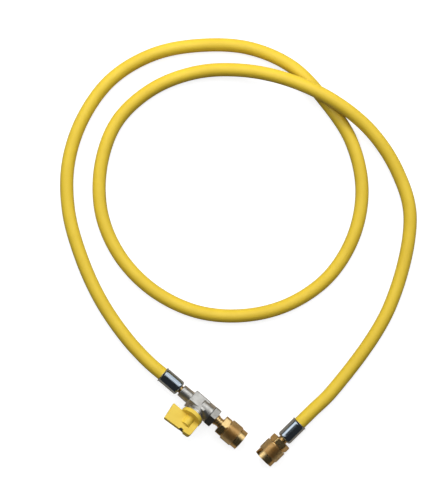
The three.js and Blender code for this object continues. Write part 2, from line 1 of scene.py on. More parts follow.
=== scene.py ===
"""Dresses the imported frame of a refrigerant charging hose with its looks.

The row frame is in metres with +Z up. Turned and moulded pieces are drawn in millimetres in a frame
of their own, whose +X is their axis, and that frame's matrix puts them in place in metres.
"""

import json
import logging
import math
from dataclasses import dataclass, field
from enum import Enum
from functools import lru_cache
from typing import Sequence

import bmesh
import bpy
import numpy as np
from mathutils import Matrix, Vector


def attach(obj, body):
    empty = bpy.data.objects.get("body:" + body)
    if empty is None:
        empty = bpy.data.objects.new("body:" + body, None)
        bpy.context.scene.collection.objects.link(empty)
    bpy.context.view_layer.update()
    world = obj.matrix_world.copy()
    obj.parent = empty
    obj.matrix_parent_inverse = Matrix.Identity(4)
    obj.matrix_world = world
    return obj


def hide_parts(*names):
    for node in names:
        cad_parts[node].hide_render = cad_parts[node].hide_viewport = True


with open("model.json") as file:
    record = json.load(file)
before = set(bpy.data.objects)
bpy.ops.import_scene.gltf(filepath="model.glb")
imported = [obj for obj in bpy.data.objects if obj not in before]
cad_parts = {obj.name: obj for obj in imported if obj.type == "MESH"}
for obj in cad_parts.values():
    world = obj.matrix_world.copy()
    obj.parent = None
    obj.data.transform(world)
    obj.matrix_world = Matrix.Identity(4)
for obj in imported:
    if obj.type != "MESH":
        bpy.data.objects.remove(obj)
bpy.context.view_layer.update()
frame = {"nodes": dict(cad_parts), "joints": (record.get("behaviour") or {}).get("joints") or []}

LOG = logging.getLogger("charging_hose")
LATHE_UV = "turned"
LATHE_STEPS = 96
MM = 0.001
WELD = 1e-7
GAP = 0.3
PLAIN_NUT_TURN = math.radians(30)

# Stations of the nuts' joints and backs, in millimetres from the rim of the ferrule at that end.
VALVE_NUT_JOINT = 75.0
VALVE_NUT_START = 63.0
PLAIN_NUT_JOINT = 31.0
PLAIN_NUT_START = 20.5


class Marks(Enum):
    """What a finish's surface was last worked by."""

    GRAIN = "grain"
    RINGS = "rings"
    LENGTHWISE = "lengthwise"


class NodeTree:
    """A node tree with short ways to add nodes and to join them."""

    def __init__(self, tree: bpy.types.NodeTree) -> None:
        """Starts from an empty tree.

        Args:
            tree: the tree that the nodes go into.
        """
        self.tree = tree
        self.tree.nodes.clear()

    def add(self, kind: str, inputs: dict | None = None, **settings: object) -> bpy.types.Node:
        """Adds a node.

        Args:
            kind: the node's type name.
            inputs: what each input takes, by name or number: a value, or the socket it is joined to.
            settings: the node's own properties.

        Returns:
            The new node.
        """
        node = self.tree.nodes.new(kind)
        for name, value in settings.items():
            setattr(node, name, value)
        for key, value in (inputs or {}).items():
            if isinstance(value, bpy.types.NodeSocket):
                self.tree.links.new(value, node.inputs[key])
            else:
                node.inputs[key].default_value = value
        return node

    def maths(self, operation: str, *values: object) -> bpy.types.NodeSocket:
        """Adds a Math node.

        Args:
            operation: what it does.
            values: its operands, numbers or sockets.

        Returns:
            Its result.
        """
        return self.add("ShaderNodeMath", dict(enumerate(values)), operation=operation).outputs[0]


@dataclass(frozen=True)
class Finish:
    """A surface finish: colours, gloss and the small relief that catches the light."""

    name: str
    slot: str
    colour: tuple[float, float, float]
    patches: tuple[float, float, float]
    metallic: float
    roughness: tuple[float, float]
    marks: Marks = Marks.GRAIN
    patch_size: float = 0.02
    grain_size: float = 0.0006
    grain_depth: float = 0.00001
    mark_size: float = 0.0002
    mark_depth: float = 0.000004
    mark_share: float = 0.6
    speck_shade: float = 0.86
    speck_share: float = 0.35
    patch_range: tuple[float, float] = (0.35, 0.65)
    speck_range: tuple[float, float] = (0.3, 0.75)
    # Lighter edges by pointiness: partly wear, partly a painted highlight where rounded edges catch the
    # light.
    edge_wear_and_highlight_range: tuple[float, float] = (0.515, 0.56)
    edge_wear_and_highlight: tuple[float, float, float] | None = None
    sheen: float = 0.0

    def build(self) -> bpy.types.Material:
        """Builds the finish's material.

        Returns:
            The material, with colour, roughness and relief from its nodes.
        """
        material = bpy.data.materials.new(self.name)
        material.use_nodes = True
        nodes = NodeTree(material.node_tree)
        place = nodes.add("ShaderNodeTexCoord").outputs["Object"]
        patch = self._noise(nodes, place, self.patch_size, 3.0)
        grain = self._noise(nodes, place, self.grain_size, 2.0)
        blotch = self._spread(nodes, patch, self.patch_range)
        colour = self._mix(nodes, blotch, self.colour, self.patches)
        speck = self._spread(nodes, grain, self.speck_range)
        darker = [channel * self.speck_shade for channel in self.colour]
        colour = self._blend(nodes, colour, darker, speck, self.speck_share)
        # Painted highlight and wear: convex edges are lightened by pointiness, as if worn and as if
        # catching the light.
        if self.edge_wear_and_highlight:
            edge = nodes.add("ShaderNodeNewGeometry").outputs["Pointiness"]
            bright = self._spread(nodes, edge, self.edge_wear_and_highlight_range)
            colour = self._blend(nodes, colour, self.edge_wear_and_highlight, bright, 1.0)
        height = nodes.maths("MULTIPLY", grain, self.grain_depth)
        rough = patch
        if self.marks is not Marks.GRAIN:
            mark = self._worked(nodes)
            height = nodes.maths("MULTIPLY_ADD", mark, self.mark_depth, height)
            rest = nodes.maths("MULTIPLY", patch, 1 - self.mark_share)
            rough = nodes.maths("MULTIPLY_ADD", mark, self.mark_share, rest)
        low, high = self.roughness
        gloss = nodes.add("ShaderNodeMapRange", {
            "Value": rough, "From Min": 0.3, "From Max": 0.7, "To Min": low, "To Max": high})
        relief = nodes.add("ShaderNodeBump", {"Height": height, "Strength": 1.0, "Distance": 1.0})
        shader = nodes.add("ShaderNodeBsdfPrincipled", {
            "Base Color": colour, "Metallic": self.metallic, "Roughness": gloss.outputs[0],
            "Normal": relief.outputs[0], "Sheen Weight": self.sheen})
        nodes.add("ShaderNodeOutputMaterial", {"Surface": shader.outputs[0]})
        return material

    def _worked(self, nodes: NodeTree) -> bpy.types.NodeSocket:
        """Fine lines round the axis or along it, from the piece's own UV map.

        Args:
            nodes: the tree that the nodes go into.

        Returns:
            The lines' strength, from 0 to 1.
        """
        uv = nodes.add("ShaderNodeUVMap", uv_map=LATHE_UV).outputs[0]
        along, across = (1.0, 0.02) if self.marks is Marks.RINGS else (0.02, 1.0)
        lines = nodes.add("ShaderNodeMapping", {"Vector": uv, "Scale": (along, across, 1.0)})
        return self._noise(nodes, lines.outputs[0], self.mark_size, 3.0)

    @staticmethod
    def _noise(nodes: NodeTree, place: bpy.types.NodeSocket, size: float,
               detail: float) -> bpy.types.NodeSocket:
        """A noise whose blotches are about the given size across.

        Args:
            nodes: the tree that the nodes go into.
            place: the coordinates it reads.
            size: a blotch's width in metres.
            detail: how many finer layers it has.

        Returns:
            The noise, from 0 to 1.
        """
        node = nodes.add("ShaderNodeTexNoise", {
            "Vector": place, "Scale": 1.0 / size, "Detail": detail, "Roughness": 0.55})
        return node.outputs["Fac"]

    @staticmethod
    def _spread(nodes: NodeTree, value: bpy.types.NodeSocket,
                ends: tuple[float, float]) -> bpy.types.NodeSocket:
        """Stretches a range to 0..1.

        Args:
            nodes: the tree that the nodes go into.
            value: what is stretched.
            ends: the values that become 0 and 1.

        Returns:
            The stretched value.
        """
        node = nodes.add("ShaderNodeMapRange", {"Value": value, "From Min": ends[0], "From Max": ends[1]})
        return node.outputs[0]

    @staticmethod
    def _mix(nodes: NodeTree, share: bpy.types.NodeSocket, first: Sequence[float],
             second: Sequence[float]) -> bpy.types.NodeSocket:
        """Mixes two plain colours.

        Args:
            nodes: the tree that the nodes go into.
            share: how much of the second one shows.
            first: the first colour.
            second: the second colour.

        Returns:
            The mixed colour.
        """
        node = nodes.add("ShaderNodeMix", data_type="RGBA")
        nodes.tree.links.new(share, node.inputs["Factor"])
        node.inputs[6].default_value = (*first, 1.0)
        node.inputs[7].default_value = (*second, 1.0)
        return node.outputs[2]

    @staticmethod
    def _blend(nodes: NodeTree, under: bpy.types.NodeSocket, over: Sequence[float],
               share: bpy.types.NodeSocket, most: float) -> bpy.types.NodeSocket:
        """Lays a plain colour over another.

        Args:
            nodes: the tree that the nodes go into.
            under: the colour below.
            over: the colour laid on it.
            share: where it shows, from 0 to 1.
            most: how much of it shows there at most.

        Returns:
            The blended colour.
        """
        node = nodes.add("ShaderNodeMix", data_type="RGBA")
        nodes.tree.links.new(nodes.maths("MULTIPLY", share, most), node.inputs["Factor"])
        nodes.tree.links.new(under, node.inputs[6])
        node.inputs[7].default_value = (*over, 1.0)
        return node.outputs[2]


@lru_cache(maxsize=None)
def material_of(finish: Finish) -> bpy.types.Material:
    """Gives a finish's one material.

    Args:
        finish: the finish.

    Returns:
        Its material, built the first time it is asked for.
    """
    return finish.build()


HOSE_RUBBER = Finish(
    "hose_rubber", "hose_rubber", (0.83, 0.585, 0.04), (0.75, 0.515, 0.032), 0.0, (0.42, 0.56),
    patch_size=0.035, grain_size=0.0007, grain_depth=0.00005, sheen=0.03)
LEVER_PLASTIC = Finish(
    "lever_plastic", "lever_plastic", (0.82, 0.585, 0.07), (0.77, 0.53, 0.055), 0.0, (0.33, 0.42),
    patch_size=0.012, grain_size=0.0003, grain_depth=0.000006)
BRIGHT_ZINC = Finish(
    "bright_zinc", "bright_zinc", (0.46, 0.525, 0.59), (0.41, 0.47, 0.53), 1.0, (0.1, 0.2),
    marks=Marks.LENGTHWISE, patch_size=0.006, grain_size=0.0009, grain_depth=0.000003,
    mark_size=0.0009, mark_depth=0.000004)
# Cast nickel: its lighter edges are partly wear and partly painted highlight.
CAST_NICKEL = Finish(
    "cast_nickel", "nickel", (0.68, 0.66, 0.62), (0.57, 0.55, 0.51), 1.0, (0.3, 0.42),
    patch_size=0.004, grain_size=0.00035, grain_depth=0.000016, edge_wear_and_highlight=(0.86, 0.85, 0.82))
CAP_NICKEL = Finish(
    "cap_nickel", "nickel", (0.40, 0.385, 0.355), (0.35, 0.335, 0.305), 1.0, (0.26, 0.36),
    patch_size=0.003, grain_size=0.0004, grain_depth=0.000008)
MACHINED_NICKEL = Finish(
    "machined_nickel", "nickel", (0.78, 0.77, 0.74), (0.70, 0.69, 0.66), 1.0, (0.18, 0.3),
    marks=Marks.RINGS, patch_size=0.004, grain_size=0.0005, grain_depth=0.000002,
    mark_size=0.00025, mark_depth=0.000002)
BRASS = Finish(
    "turned_brass", "brass", (0.85, 0.61, 0.28), (0.76, 0.52, 0.22), 1.0, (0.2, 0.34),
    marks=Marks.RINGS, patch_size=0.004, grain_size=0.0005, grain_depth=0.000004,
    mark_size=0.00022, mark_depth=0.000005)
# The studs' rougher gloss is the knurl's own; their lighter, paler brass colour is painted light, so the
# knurl reads brightly lit.
KNURL_BRASS_PAINTED_LIGHT = Finish(
    "knurled_brass_painted_light", "brass", (0.90, 0.67, 0.35), (0.80, 0.57, 0.27), 1.0, (0.3, 0.42),
    patch_size=0.003, grain_size=0.0004, grain_depth=0.000012)
# Painted shade: the screw's near-black colour stands for the shadow in the lever's notch, not a blackened
# finish.
NOTCH_SHADE_STEEL = Finish(
    "screw_steel_painted_shade", "ball_steel", (0.10, 0.10, 0.105), (0.07, 0.07, 0.07), 1.0, (0.3, 0.42),
    patch_size=0.003, grain_size=0.0004, grain_depth=0.000005)
STEEL = Finish(
    "polished_steel", "ball_steel", (0.70, 0.71, 0.72), (0.62, 0.63, 0.64), 1.0, (0.12, 0.22),
    patch_size=0.003, grain_size=0.0004, grain_depth=0.000003)
SEAT_PLASTIC = Finish(
    "seat_plastic", "seat_plastic", (0.88, 0.86, 0.80), (0.82, 0.80, 0.73), 0.0, (0.35, 0.5),
    patch_size=0.003, grain_size=0.0003, grain_depth=0.000005)
BLACK_RUBBER = Finish(
    "black_rubber", "black_rubber", (0.022, 0.022, 0.023), (0.035, 0.034, 0.033), 0.0, (0.5, 0.7),
    patch_size=0.002, grain_size=0.0003, grain_depth=0.00002)


def joint_row(name: str) -> dict:
    """The frame's row of the joint with that name."""
    return next(joint for joint in frame["joints"] if joint["name"] == name)


def joint_frame(joint: str, station: float) -> Matrix:
    """The frame of an end fitting: +X along its axis, origin at its ferrule's rim.

    Args:
        joint: the nut's joint, which lies on that axis.
        station: how far the joint is from the rim, in millimetres.

    Returns:
        The frame's matrix, from millimetres to the row frame's metres.
    """
    row = joint_row(joint)
    along = Vector(row["axis"]).normalized()
    side = Vector((0.0, 0.0, 1.0)).cross(along).normalized()
    return axes_frame(Vector(row["pos_m"]) - along * station * MM, along, side)


def axes_frame(origin: Vector, along: Vector, side: Vector) -> Matrix:
    """A frame from its origin and its first two axes.

    Args:
        origin: where it is, in metres.
        along: its +X.
        side: its +Y.

    Returns:
        Its matrix, from millimetres to metres.
    """
    turn = Matrix((along, side, along.cross(side))).transposed()
    return Matrix.Translation(origin) @ turn.to_4x4() @ Matrix.Scale(MM, 4)


def lever_frame() -> Matrix:
    """The stem's frame: +X out along the stem, +Y along the flow, +Z out of the wing's upper face."""
    row = joint_row("lever_turn")
    return axes_frame(Vector(row["pos_m"]), -Vector(row["axis"]).normalized(), Vector((1, 0, 0)))


def mesh_piece(name: str, points: np.ndarray, faces: Sequence[Sequence[int]]) -> bpy.types.Object:
    """Makes an object from its points and faces.

    Args:
        name: the object's name.
        points: the points, one row each.
        faces: the numbers of each face's points.

    Returns:
        The object, linked to the scene.
    """
    mesh = bpy.data.meshes.new(name)
    mesh.from_pydata(points.tolist(), [], [list(face) for face in faces])
    mesh.update()
    piece = bpy.data.objects.new(name, mesh)
    bpy.context.scene.collection.objects.link(piece)
    return piece


def settle(piece: bpy.types.Object, place: Matrix, sharp: float = 35.0) -> bpy.types.Object:
    """Puts a drawn piece in place and shades it.

    Args:
        piece: the object, drawn in millimetres.
        place: its frame's matrix.
        sharp: the angle between faces, in degrees, above which an edge stays sharp.

    Returns:
        The same object, its place in its mesh.
    """
    piece.data.transform(place)
    shell = bmesh.new()
    shell.from_mesh(piece.data)
    bmesh.ops.remove_doubles(shell, verts=shell.verts, dist=WELD)
    bmesh.ops.recalc_face_normals(shell, faces=shell.faces)
    shell.to_mesh(piece.data)
    shell.free()
    piece.data.shade_smooth()
    piece.data.set_sharp_from_angle(angle=math.radians(sharp))
    return piece


def finished(piece: bpy.types.Object, body: str, finish: Finish,
             nodes: Sequence[str]) -> bpy.types.Object:
    """Gives a piece its finish, its body and the CAD nodes it stands for.

    Args:
        piece: the piece, in place.
        body: the body it rides on.
        finish: its finish.
        nodes: the CAD nodes it replaces.

    Returns:
        The same piece.
    """
    if not piece.data.materials:
        piece.data.materials.append(material_of(finish))
    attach(piece, body)
    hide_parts(*nodes)
    LOG.info("%s: %d faces on %s", piece.name, len(piece.data.polygons), body)
    return piece


def evaluated(piece: bpy.types.Object) -> bpy.types.Object:
    """Turns a piece and its modifiers into a plain mesh.

    Args:
        piece: the piece with its modifiers.

    Returns:
        The same object, with the result as its mesh and no modifier left.
    """
    depsgraph = bpy.context.evaluated_depsgraph_get()
    mesh = bpy.data.meshes.new_from_object(piece.evaluated_get(depsgraph))
    mesh.name = piece.name
    piece.modifiers.clear()
    piece.data = mesh
    return piece


def eased(outline: Sequence[tuple[float, float, float]], steps: int = 3) -> list[tuple[float, float]]:
    """Rounds the corners of a closed outline.

    Args:
        outline: its corners: station, radius and how far from the corner the rounding starts.
        steps: how many pieces each rounding has.

    Returns:
        The rounded outline's points, with a holding point beside each rounding.
    """
    most_of_side, hold = 0.4, 1.2
    corners = np.array([corner[:2] for corner in outline], float)
    points: list[np.ndarray] = []
    for i, (_, _, ease) in enumerate(outline):
        here = corners[i]
        if ease <= 0:
            points.append(here)
            continue
        sides = [corners[i - 1] - here, corners[(i + 1) % len(corners)] - here]
        reach = min(ease, *(most_of_side * float(np.linalg.norm(side)) for side in sides))
        before, after = (here + side / np.linalg.norm(side) * reach for side in sides)
        points.append(here + (before - here) * hold)
        for k in range(steps + 1):
            t = k / steps
            points.append((1 - t) ** 2 * before + 2 * t * (1 - t) * here + t * t * after)
        points.append(here + (after - here) * hold)
    return [(float(s), float(r)) for s, r in points]


def round_angles(count: int, sides: int = 0, turn: float = 0.0) -> np.ndarray:
    """Angles round an axis, closer together at a polygon's corners.

    Args:
        count: how many even steps there are.
        sides: the polygon's number of sides, or 0 for a plain circle.
        turn: the angle of the middle of one of its sides.

    Returns:
        The angles, in radians, in order.
    """
    beside_corner = (-1.4, -0.6, 0, 0.6, 1.4)
    angles = np.linspace(0, 2 * math.pi, count, endpoint=False)
    corners = [turn + math.pi * (2 * k + 1) / sides for k in range(sides)]
    extra = [corner + math.radians(step) for corner in corners for step in beside_corner]
    every = np.concatenate([angles, np.mod(extra, 2 * math.pi)]) if sides else angles
    return np.unique(np.round(np.sort(every), 6))


def polygon_radius(angles: np.ndarray, sides: int, flat: float, turn: float,
                   corner: float = 60.0) -> np.ndarray:
    """The radius of a polygon with slightly rounded corners.

    Args:
        angles: where it is wanted.
        sides: the number of sides.
        flat: the distance of each side from the axis.
        turn: the angle of the middle of one side.
        corner: how sharp the corners are.

    Returns:
        The radius at each angle.
    """
    middles = turn + 2 * math.pi * np.arange(sides) / sides
    facing = np.maximum(np.cos(angles[:, None] - middles[None, :]), 1e-3)
    return flat / (facing ** corner).sum(axis=1) ** (1 / corner)


def turned(name: str, rings: Sequence[tuple[float, float | np.ndarray]], place: Matrix,
           angles: np.ndarray | None = None, closed: bool = True) -> bpy.types.Object:
    """A piece turned about its frame's +X, with lathe coordinates in its UV map.

    Args:
        name: the object's name.
        rings: each ring's station, and its radius, which may differ round the axis.
        place: the frame's matrix.
        angles: the angles of the points round the axis.
        closed: whether the last ring joins the first one.

    Returns:
        The object, in place.
    """
    round_axis = round_angles(LATHE_STEPS) if angles is None else angles
    count = len(round_axis)
    stations = np.array([np.broadcast_to(station, count) for station, _ in rings], float)
    radii = np.array([np.broadcast_to(radius, count) for _, radius in rings], float)
    points = np.stack([stations, radii * np.cos(round_axis), radii * np.sin(round_axis)], axis=2)
    ring_count = len(rings)
    spans = ring_count if closed else ring_count - 1
    faces = [(i * count + j, i * count + (j + 1) % count,
              (i + 1) % ring_count * count + (j + 1) % count, (i + 1) % ring_count * count + j)
             for i in range(spans) for j in range(count)]
    piece = mesh_piece(name, points.reshape(-1, 3), faces)
    middle = np.stack([stations.mean(axis=1), radii.mean(axis=1)], axis=1)
    steps = np.linalg.norm(np.diff(middle, axis=0, append=middle[:1]), axis=1)
    along = np.concatenate([[0.0], np.cumsum(steps)]) * MM
    size = float(radii.max()) * MM
    around = np.append(round_axis, round_axis[0] + 2 * math.pi) * size
    uv = np.array([((along[i], around[j]), (along[i], around[j + 1]),
                    (along[i + 1], around[j + 1]), (along[i + 1], around[j]))
                   for i in range(spans) for j in range(count)])
    layer = piece.data.uv_layers.new(name=LATHE_UV)
    layer.data.foreach_set("uv", uv.ravel())
    return settle(piece, place)


def rod(name: str, start: float, end: float, radius: float, sides: int = 64,
        along_flow: bool = False) -> bpy.types.Object:
    """A plain closed rod, as a volume to join or to cut with.

    Args:
        name: the object's name.
        start: its first station, in millimetres.
        end: its last station.
        radius: its radius.
        sides: how many sides it has.
        along_flow: whether it lies along the frame's +Y and not its +X.

    Returns:
        The object, drawn in millimetres.
    """
    shape = bmesh.new()
    bmesh.ops.create_cone(shape, cap_ends=True, segments=sides, radius1=radius, radius2=radius,
                          depth=end - start)
    turn = Matrix.Rotation(-math.pi / 2, 4, "X") if along_flow else Matrix.Rotation(math.pi / 2, 4, "Y")
    middle = (0, (start + end) / 2, 0) if along_flow else ((start + end) / 2, 0, 0)
    shape.transform(Matrix.Translation(middle) @ turn)
    return volume(name, shape)


def plate(name: str, corners: Sequence[tuple[float, float, float]], low: float,
          high: float) -> bpy.types.Object:
    """A flat plate with rounded corners, as a volume to join or to cut with.

    Args:
        name: the object's name.
        corners: its outline: x, y and how far from the corner the rounding starts.
        low: the height of its lower face, in millimetres.
        high: the height of its upper face.

    Returns:
        The object, drawn in millimetres.
    """
    outline = eased(corners, 6)
    shape = bmesh.new()
    face = shape.faces.new([shape.verts.new((x, y, low)) for x, y in outline])
    grown = bmesh.ops.extrude_face_region(shape, geom=[face])
    moved = [v for v in grown["geom"] if isinstance(v, bmesh.types.BMVert)]
    bmesh.ops.translate(shape, verts=moved, vec=(0, 0, high - low))
    bmesh.ops.recalc_face_normals(shape, faces=shape.faces)
    return volume(name, shape)


def volume(name: str, shape: bmesh.types.BMesh) -> bpy.types.Object:
    """Makes an object from a bmesh and frees the bmesh."""
    mesh = bpy.data.meshes.new(name)
    shape.to_mesh(mesh)
    shape.free()
    piece = bpy.data.objects.new(name, mesh)
    bpy.context.scene.collection.objects.link(piece)
    return piece


def moulded(name: str, volumes: Sequence[bpy.types.Object], voxel: float,
            smoothing: int) -> bpy.types.Object:
    """Joins volumes into one skin with soft edges, as a casting or a moulding has.

    Args:
        name: the object's name.
        volumes: what is joined. They are used up.
        voxel: the size of the skin's faces, in millimetres.
        smoothing: how often its edges are eased.

    Returns:
        The object, drawn in millimetres.
    """
    shape = bmesh.new()
    for part in volumes:
        shape.from_mesh(part.data)
        bpy.data.objects.remove(part)
    piece = volume(name, shape)
    remesh = piece.modifiers.new("skin", "REMESH")
    remesh.mode = "VOXEL"
    remesh.voxel_size = voxel
    soften = piece.modifiers.new("soften", "SMOOTH")
    soften.factor = 0.5
    soften.iterations = smoothing
    return evaluated(piece)


def cut(piece: bpy.types.Object, cutters: Sequence[bpy.types.Object],
        operation: str = "DIFFERENCE") -> bpy.types.Object:
    """Cuts volumes out of a piece, or joins them to it.

    Args:
        piece: the piece, drawn in millimetres.
        cutters: the volumes. They are used up.
        operation: what is done with them.

    Returns:
        The same object.
    """
    for cutter in cutters:
        step = piece.modifiers.new("cut", "BOOLEAN")
        step.operation = operation
        step.solver = "EXACT"
        step.object = cutter
        evaluated(piece)
        bpy.data.objects.remove(cutter)
    return piece


@dataclass
class Hose:
    """The yellow rubber hose: one tube along its route, squeezed inside both ferrules."""

    radius: float = 0.0055
    bore: float = 0.0025
    crimped: float = 0.00475
    lip: float = 0.0012
    into_ferrule: float = 0.0158
    lead: float = 0.014
    spacing: float = 0.0025
    curve_steps: int = 60
    sides: int = 40
    bore_sides: int = 16
    end_heading: float = 265.0
    end_rim: tuple[float, float, float] = (0.1116, 0.0423, 0.0093)
    axis_height: float = 0.0093
    route: tuple[tuple[float, float, float], ...] = (
        (-0.041, 0.003, 0.0070), (-0.078, 0.013, 0.0058), (-0.114, 0.030, 0.0055),
        (-0.146, 0.052, 0.0055), (-0.171, 0.081, 0.0055), (-0.186, 0.117, 0.0055),
        (-0.189, 0.157, 0.0055), (-0.176, 0.195, 0.0055), (-0.151, 0.226, 0.0055),
        (-0.119, 0.250, 0.0055), (-0.082, 0.261, 0.0055), (-0.043, 0.257, 0.0055),
        (-0.006, 0.246, 0.0055), (0.026, 0.222, 0.0055), (0.046, 0.188, 0.0055),
        (0.052, 0.149, 0.0055), (0.042, 0.111, 0.0055), (0.020, 0.080, 0.0055),
        (-0.012, 0.057, 0.0055), (-0.051, 0.047, 0.0055), (-0.090, 0.051, 0.0055),
        (-0.124, 0.068, 0.0055), (-0.150, 0.098, 0.0055), (-0.163, 0.134, 0.0055),
        (-0.158, 0.173, 0.0058), (-0.139, 0.207, 0.0068), (-0.110, 0.233, 0.0106),
        (-0.075, 0.251, 0.0165), (-0.037, 0.261, 0.0165), (0.002, 0.262, 0.0108),
        (0.040, 0.251, 0.0068), (0.072, 0.229, 0.0058), (0.107, 0.160, 0.0058),
        (0.115, 0.080, 0.0078))

    def control_points(self, rim: Vector) -> np.ndarray:
        """The route's points with a straight lead at each end, in the row frame.

        Args:
            rim: the middle of the valve ferrule's rim.

        Returns:
            The points, one row each, in metres.
        """
        heading = math.radians(self.end_heading)
        ahead = np.array([math.cos(heading), math.sin(heading), 0.0])
        leads = (self.into_ferrule, 0.0, -self.lead)
        first = [np.array([lead, 0.0, self.axis_height]) for lead in leads]
        last = [np.array(self.end_rim) + ahead * lead for lead in reversed(leads)]
        points = np.array([*first, *np.array(self.route), *last])
        return points + np.array([rim.x, rim.y, 0.0])

    def centreline(self, rim: Vector) -> np.ndarray:
        """The hose's middle line at even steps: a centripetal Catmull-Rom curve.

        Args:
            rim: the middle of the valve ferrule's rim.

        Returns:
            The ring centres, one row each, in metres.
        """
        control = self.control_points(rim)
        before = 2 * control[0] - control[1]
        after = 2 * control[-1] - control[-2]
        control = np.array([before, *control, after])
        knots = np.linalg.norm(np.diff(control, axis=0), axis=1) ** 0.5
        share = np.linspace(0, 1, self.curve_steps, endpoint=False)[:, None]
        line = []
        for i in range(1, len(control) - 2):
            a, b, c, d = control[i - 1:i + 3]
            k0, k1, k2 = knots[i - 1:i + 2]
            leave = ((b - a) / k0 - (c - a) / (k0 + k1) + (c - b) / k1) * k1
            enter = ((c - b) / k1 - (d - b) / (k1 + k2) + (d - c) / k2) * k1
            line.append(b + leave * share + (3 * (c - b) - 2 * leave - enter) * share ** 2
                        + (2 * (b - c) + leave + enter) * share ** 3)
        fine = np.concatenate([*line, control[-2:-1]])
        length = np.concatenate([[0.0], np.cumsum(np.linalg.norm(np.diff(fine, axis=0), axis=1))])
        even = np.linspace(0, length[-1], round(length[-1] / self.spacing) + 1)
        return np.stack([np.interp(even, length, fine[:, axis]) for axis in range(3)], axis=1)

    def build(self, rim: Vector) -> tuple[bpy.types.Object, np.ndarray]:
        """Builds the tube.

        Args:
            rim: the middle of the valve ferrule's rim.

        Returns:
            The tube and its ring centres.
        """
        centres = self.centreline(rim)
        ahead = np.gradient(centres, axis=0)
        ahead /= np.linalg.norm(ahead, axis=1)[:, None]
        across = np.cross(np.array([0.0, 0.0, 1.0]), ahead)
        across /= np.linalg.norm(across, axis=1)[:, None]
        above = np.cross(ahead, across)
        station = np.concatenate([[0.0], np.cumsum(np.linalg.norm(np.diff(centres, axis=0), axis=1))])
        inside = np.minimum(station, station[-1] - station) < self.into_ferrule - self.lip
        outer = np.where(inside, self.crimped, self.radius)
        skin = self._wall(centres, across, above, outer, self.sides)
        bore = self._wall(centres, across, above, np.full(len(centres), self.bore), self.bore_sides)
        rings, sides, holes = len(centres), self.sides, self.bore_sides
        faces = [(i * sides + j, i * sides + (j + 1) % sides, (i + 1) * sides + (j + 1) % sides,
                  (i + 1) * sides + j) for i in range(rings - 1) for j in range(sides)]
        base = rings * sides
        faces += [(base + i * holes + j, base + (i + 1) * holes + j,
                   base + (i + 1) * holes + (j + 1) % holes, base + i * holes + (j + 1) % holes)
                  for i in range(rings - 1) for j in range(holes)]
        piece = mesh_piece("hose_tube", np.concatenate([skin, bore]), faces)
        self._close_ends(piece)
        return settle(piece, Matrix.Identity(4), sharp=60.0), centres

    @staticmethod
    def _wall(centres: np.ndarray, across: np.ndarray, above: np.ndarray, radii: np.ndarray,
              sides: int) -> np.ndarray:
        """The points of one wall of the tube, ring by ring.

        Args:
            centres: the ring centres.
            across: the level direction across the tube at each ring.
            above: the direction square to it and to the tube.
            radii: each ring's radius.
            sides: how many points a ring has.

        Returns:
            The points, one row each.
        """
        angle = np.linspace(0, 2 * math.pi, sides, endpoint=False)[None, :, None]
        ring = across[:, None, :] * np.cos(angle) + above[:, None, :] * np.sin(angle)
        return (centres[:, None, :] + ring * radii[:, None, None]).reshape(-1, 3)

    @staticmethod
    def _close_ends(piece: bpy.types.Object) -> None:
        """Closes the wall's two cut ends.

        Args:
            piece: the tube, open between its outer wall and its bore.
        """
        shell = bmesh.new()
        shell.from_mesh(piece.data)
        edges = [edge for edge in shell.edges if edge.is_boundary]
        first = edges[0].verts[0].co.copy()
        end_width = 0.02
        for here in (True, False):
            loop = [e for e in edges if ((e.verts[0].co - first).length < end_width) is here]
            bmesh.ops.bridge_loops(shell, edges=loop)
        shell.to_mesh(piece.data)
        shell.free()


@dataclass
class Ferrule:
    """A crimped sleeve: flared lip, eight shallow crimp flats and a rounded nose."""

    length: float = 18.6
    radius: float = 6.45
    lip_radius: float = 7.05
    nose: float = 1.9
    end_wall: float = 1.2
    neck: float = 3.65
    bore: float = 5.05
    mouth: float = 5.8
    flats: int = 8
    flat: float = 6.37
    flat_turn: float = 0.2
    flat_corner: float = 34.0
    crimp_start: float = 2.6
    crimp_end: float = 15.6
    ramp: float = 1.0

    def _crimp_ramp(self, middle: float, crimped: np.ndarray,
                    leaving: bool) -> list[tuple[float, np.ndarray]]:
        """The rings between the plain sleeve and its crimp.

        Args:
            middle: the station halfway.
            crimped: the crimp's radius round the axis.
            leaving: whether the crimp ends here, and doesn't start.

        Returns:
            The rings' stations and radii.
        """
        rings = []
        for share in np.linspace(0, 1, 9):
            ease = share * share * (3 - 2 * share)
            ease = 1 - ease if leaving else ease
            station = middle - self.ramp / 2 + share * self.ramp
            rings.append((station, self.radius + (crimped - self.radius) * ease))
        return rings

    def build(self, name: str, place: Matrix) -> bpy.types.Object:
        """Builds the sleeve.

        Args:
            name: the object's name.
            place: the matrix of its end's frame.

        Returns:
            The object, in place.
        """
        angles = round_angles(144)
        flats = polygon_radius(angles, self.flats, self.flat, self.flat_turn, self.flat_corner)
        crimped = np.minimum(flats, self.radius)
        rings: list[tuple[float, float | np.ndarray]] = [
            (0.0, self.mouth), (0.0, self.lip_radius - 0.22), (0.06, self.lip_radius - 0.07),
            (0.2, self.lip_radius), (0.38, self.lip_radius - 0.06), (0.6, self.lip_radius - 0.3),
            (0.85, self.radius + 0.12), (1.15, self.radius - 0.04), (1.4, self.radius - 0.09),
            (1.7, self.radius - 0.04), (2.0, self.radius)]
        rings += self._crimp_ramp(self.crimp_start, crimped, leaving=False)
        rings += [(station, crimped) for station in np.linspace(4.0, self.crimp_end - 1.0, 8)]
        rings += self._crimp_ramp(self.crimp_end, crimped, leaving=True)
        for turn in np.linspace(0, math.pi / 2, 10):
            rings.append((self.length - self.nose * (1 - math.sin(turn)),
                          self.radius - self.nose * (1 - math.cos(turn))))
        rings += [(self.length, self.neck + 0.15), (self.length - 0.12, self.neck),
                  (self.length - self.end_wall, self.neck), (self.length - self.end_wall, self.bore),
                  (2.25, self.bore), (1.5, self.mouth)]
        return turned(name, rings, place, angles)


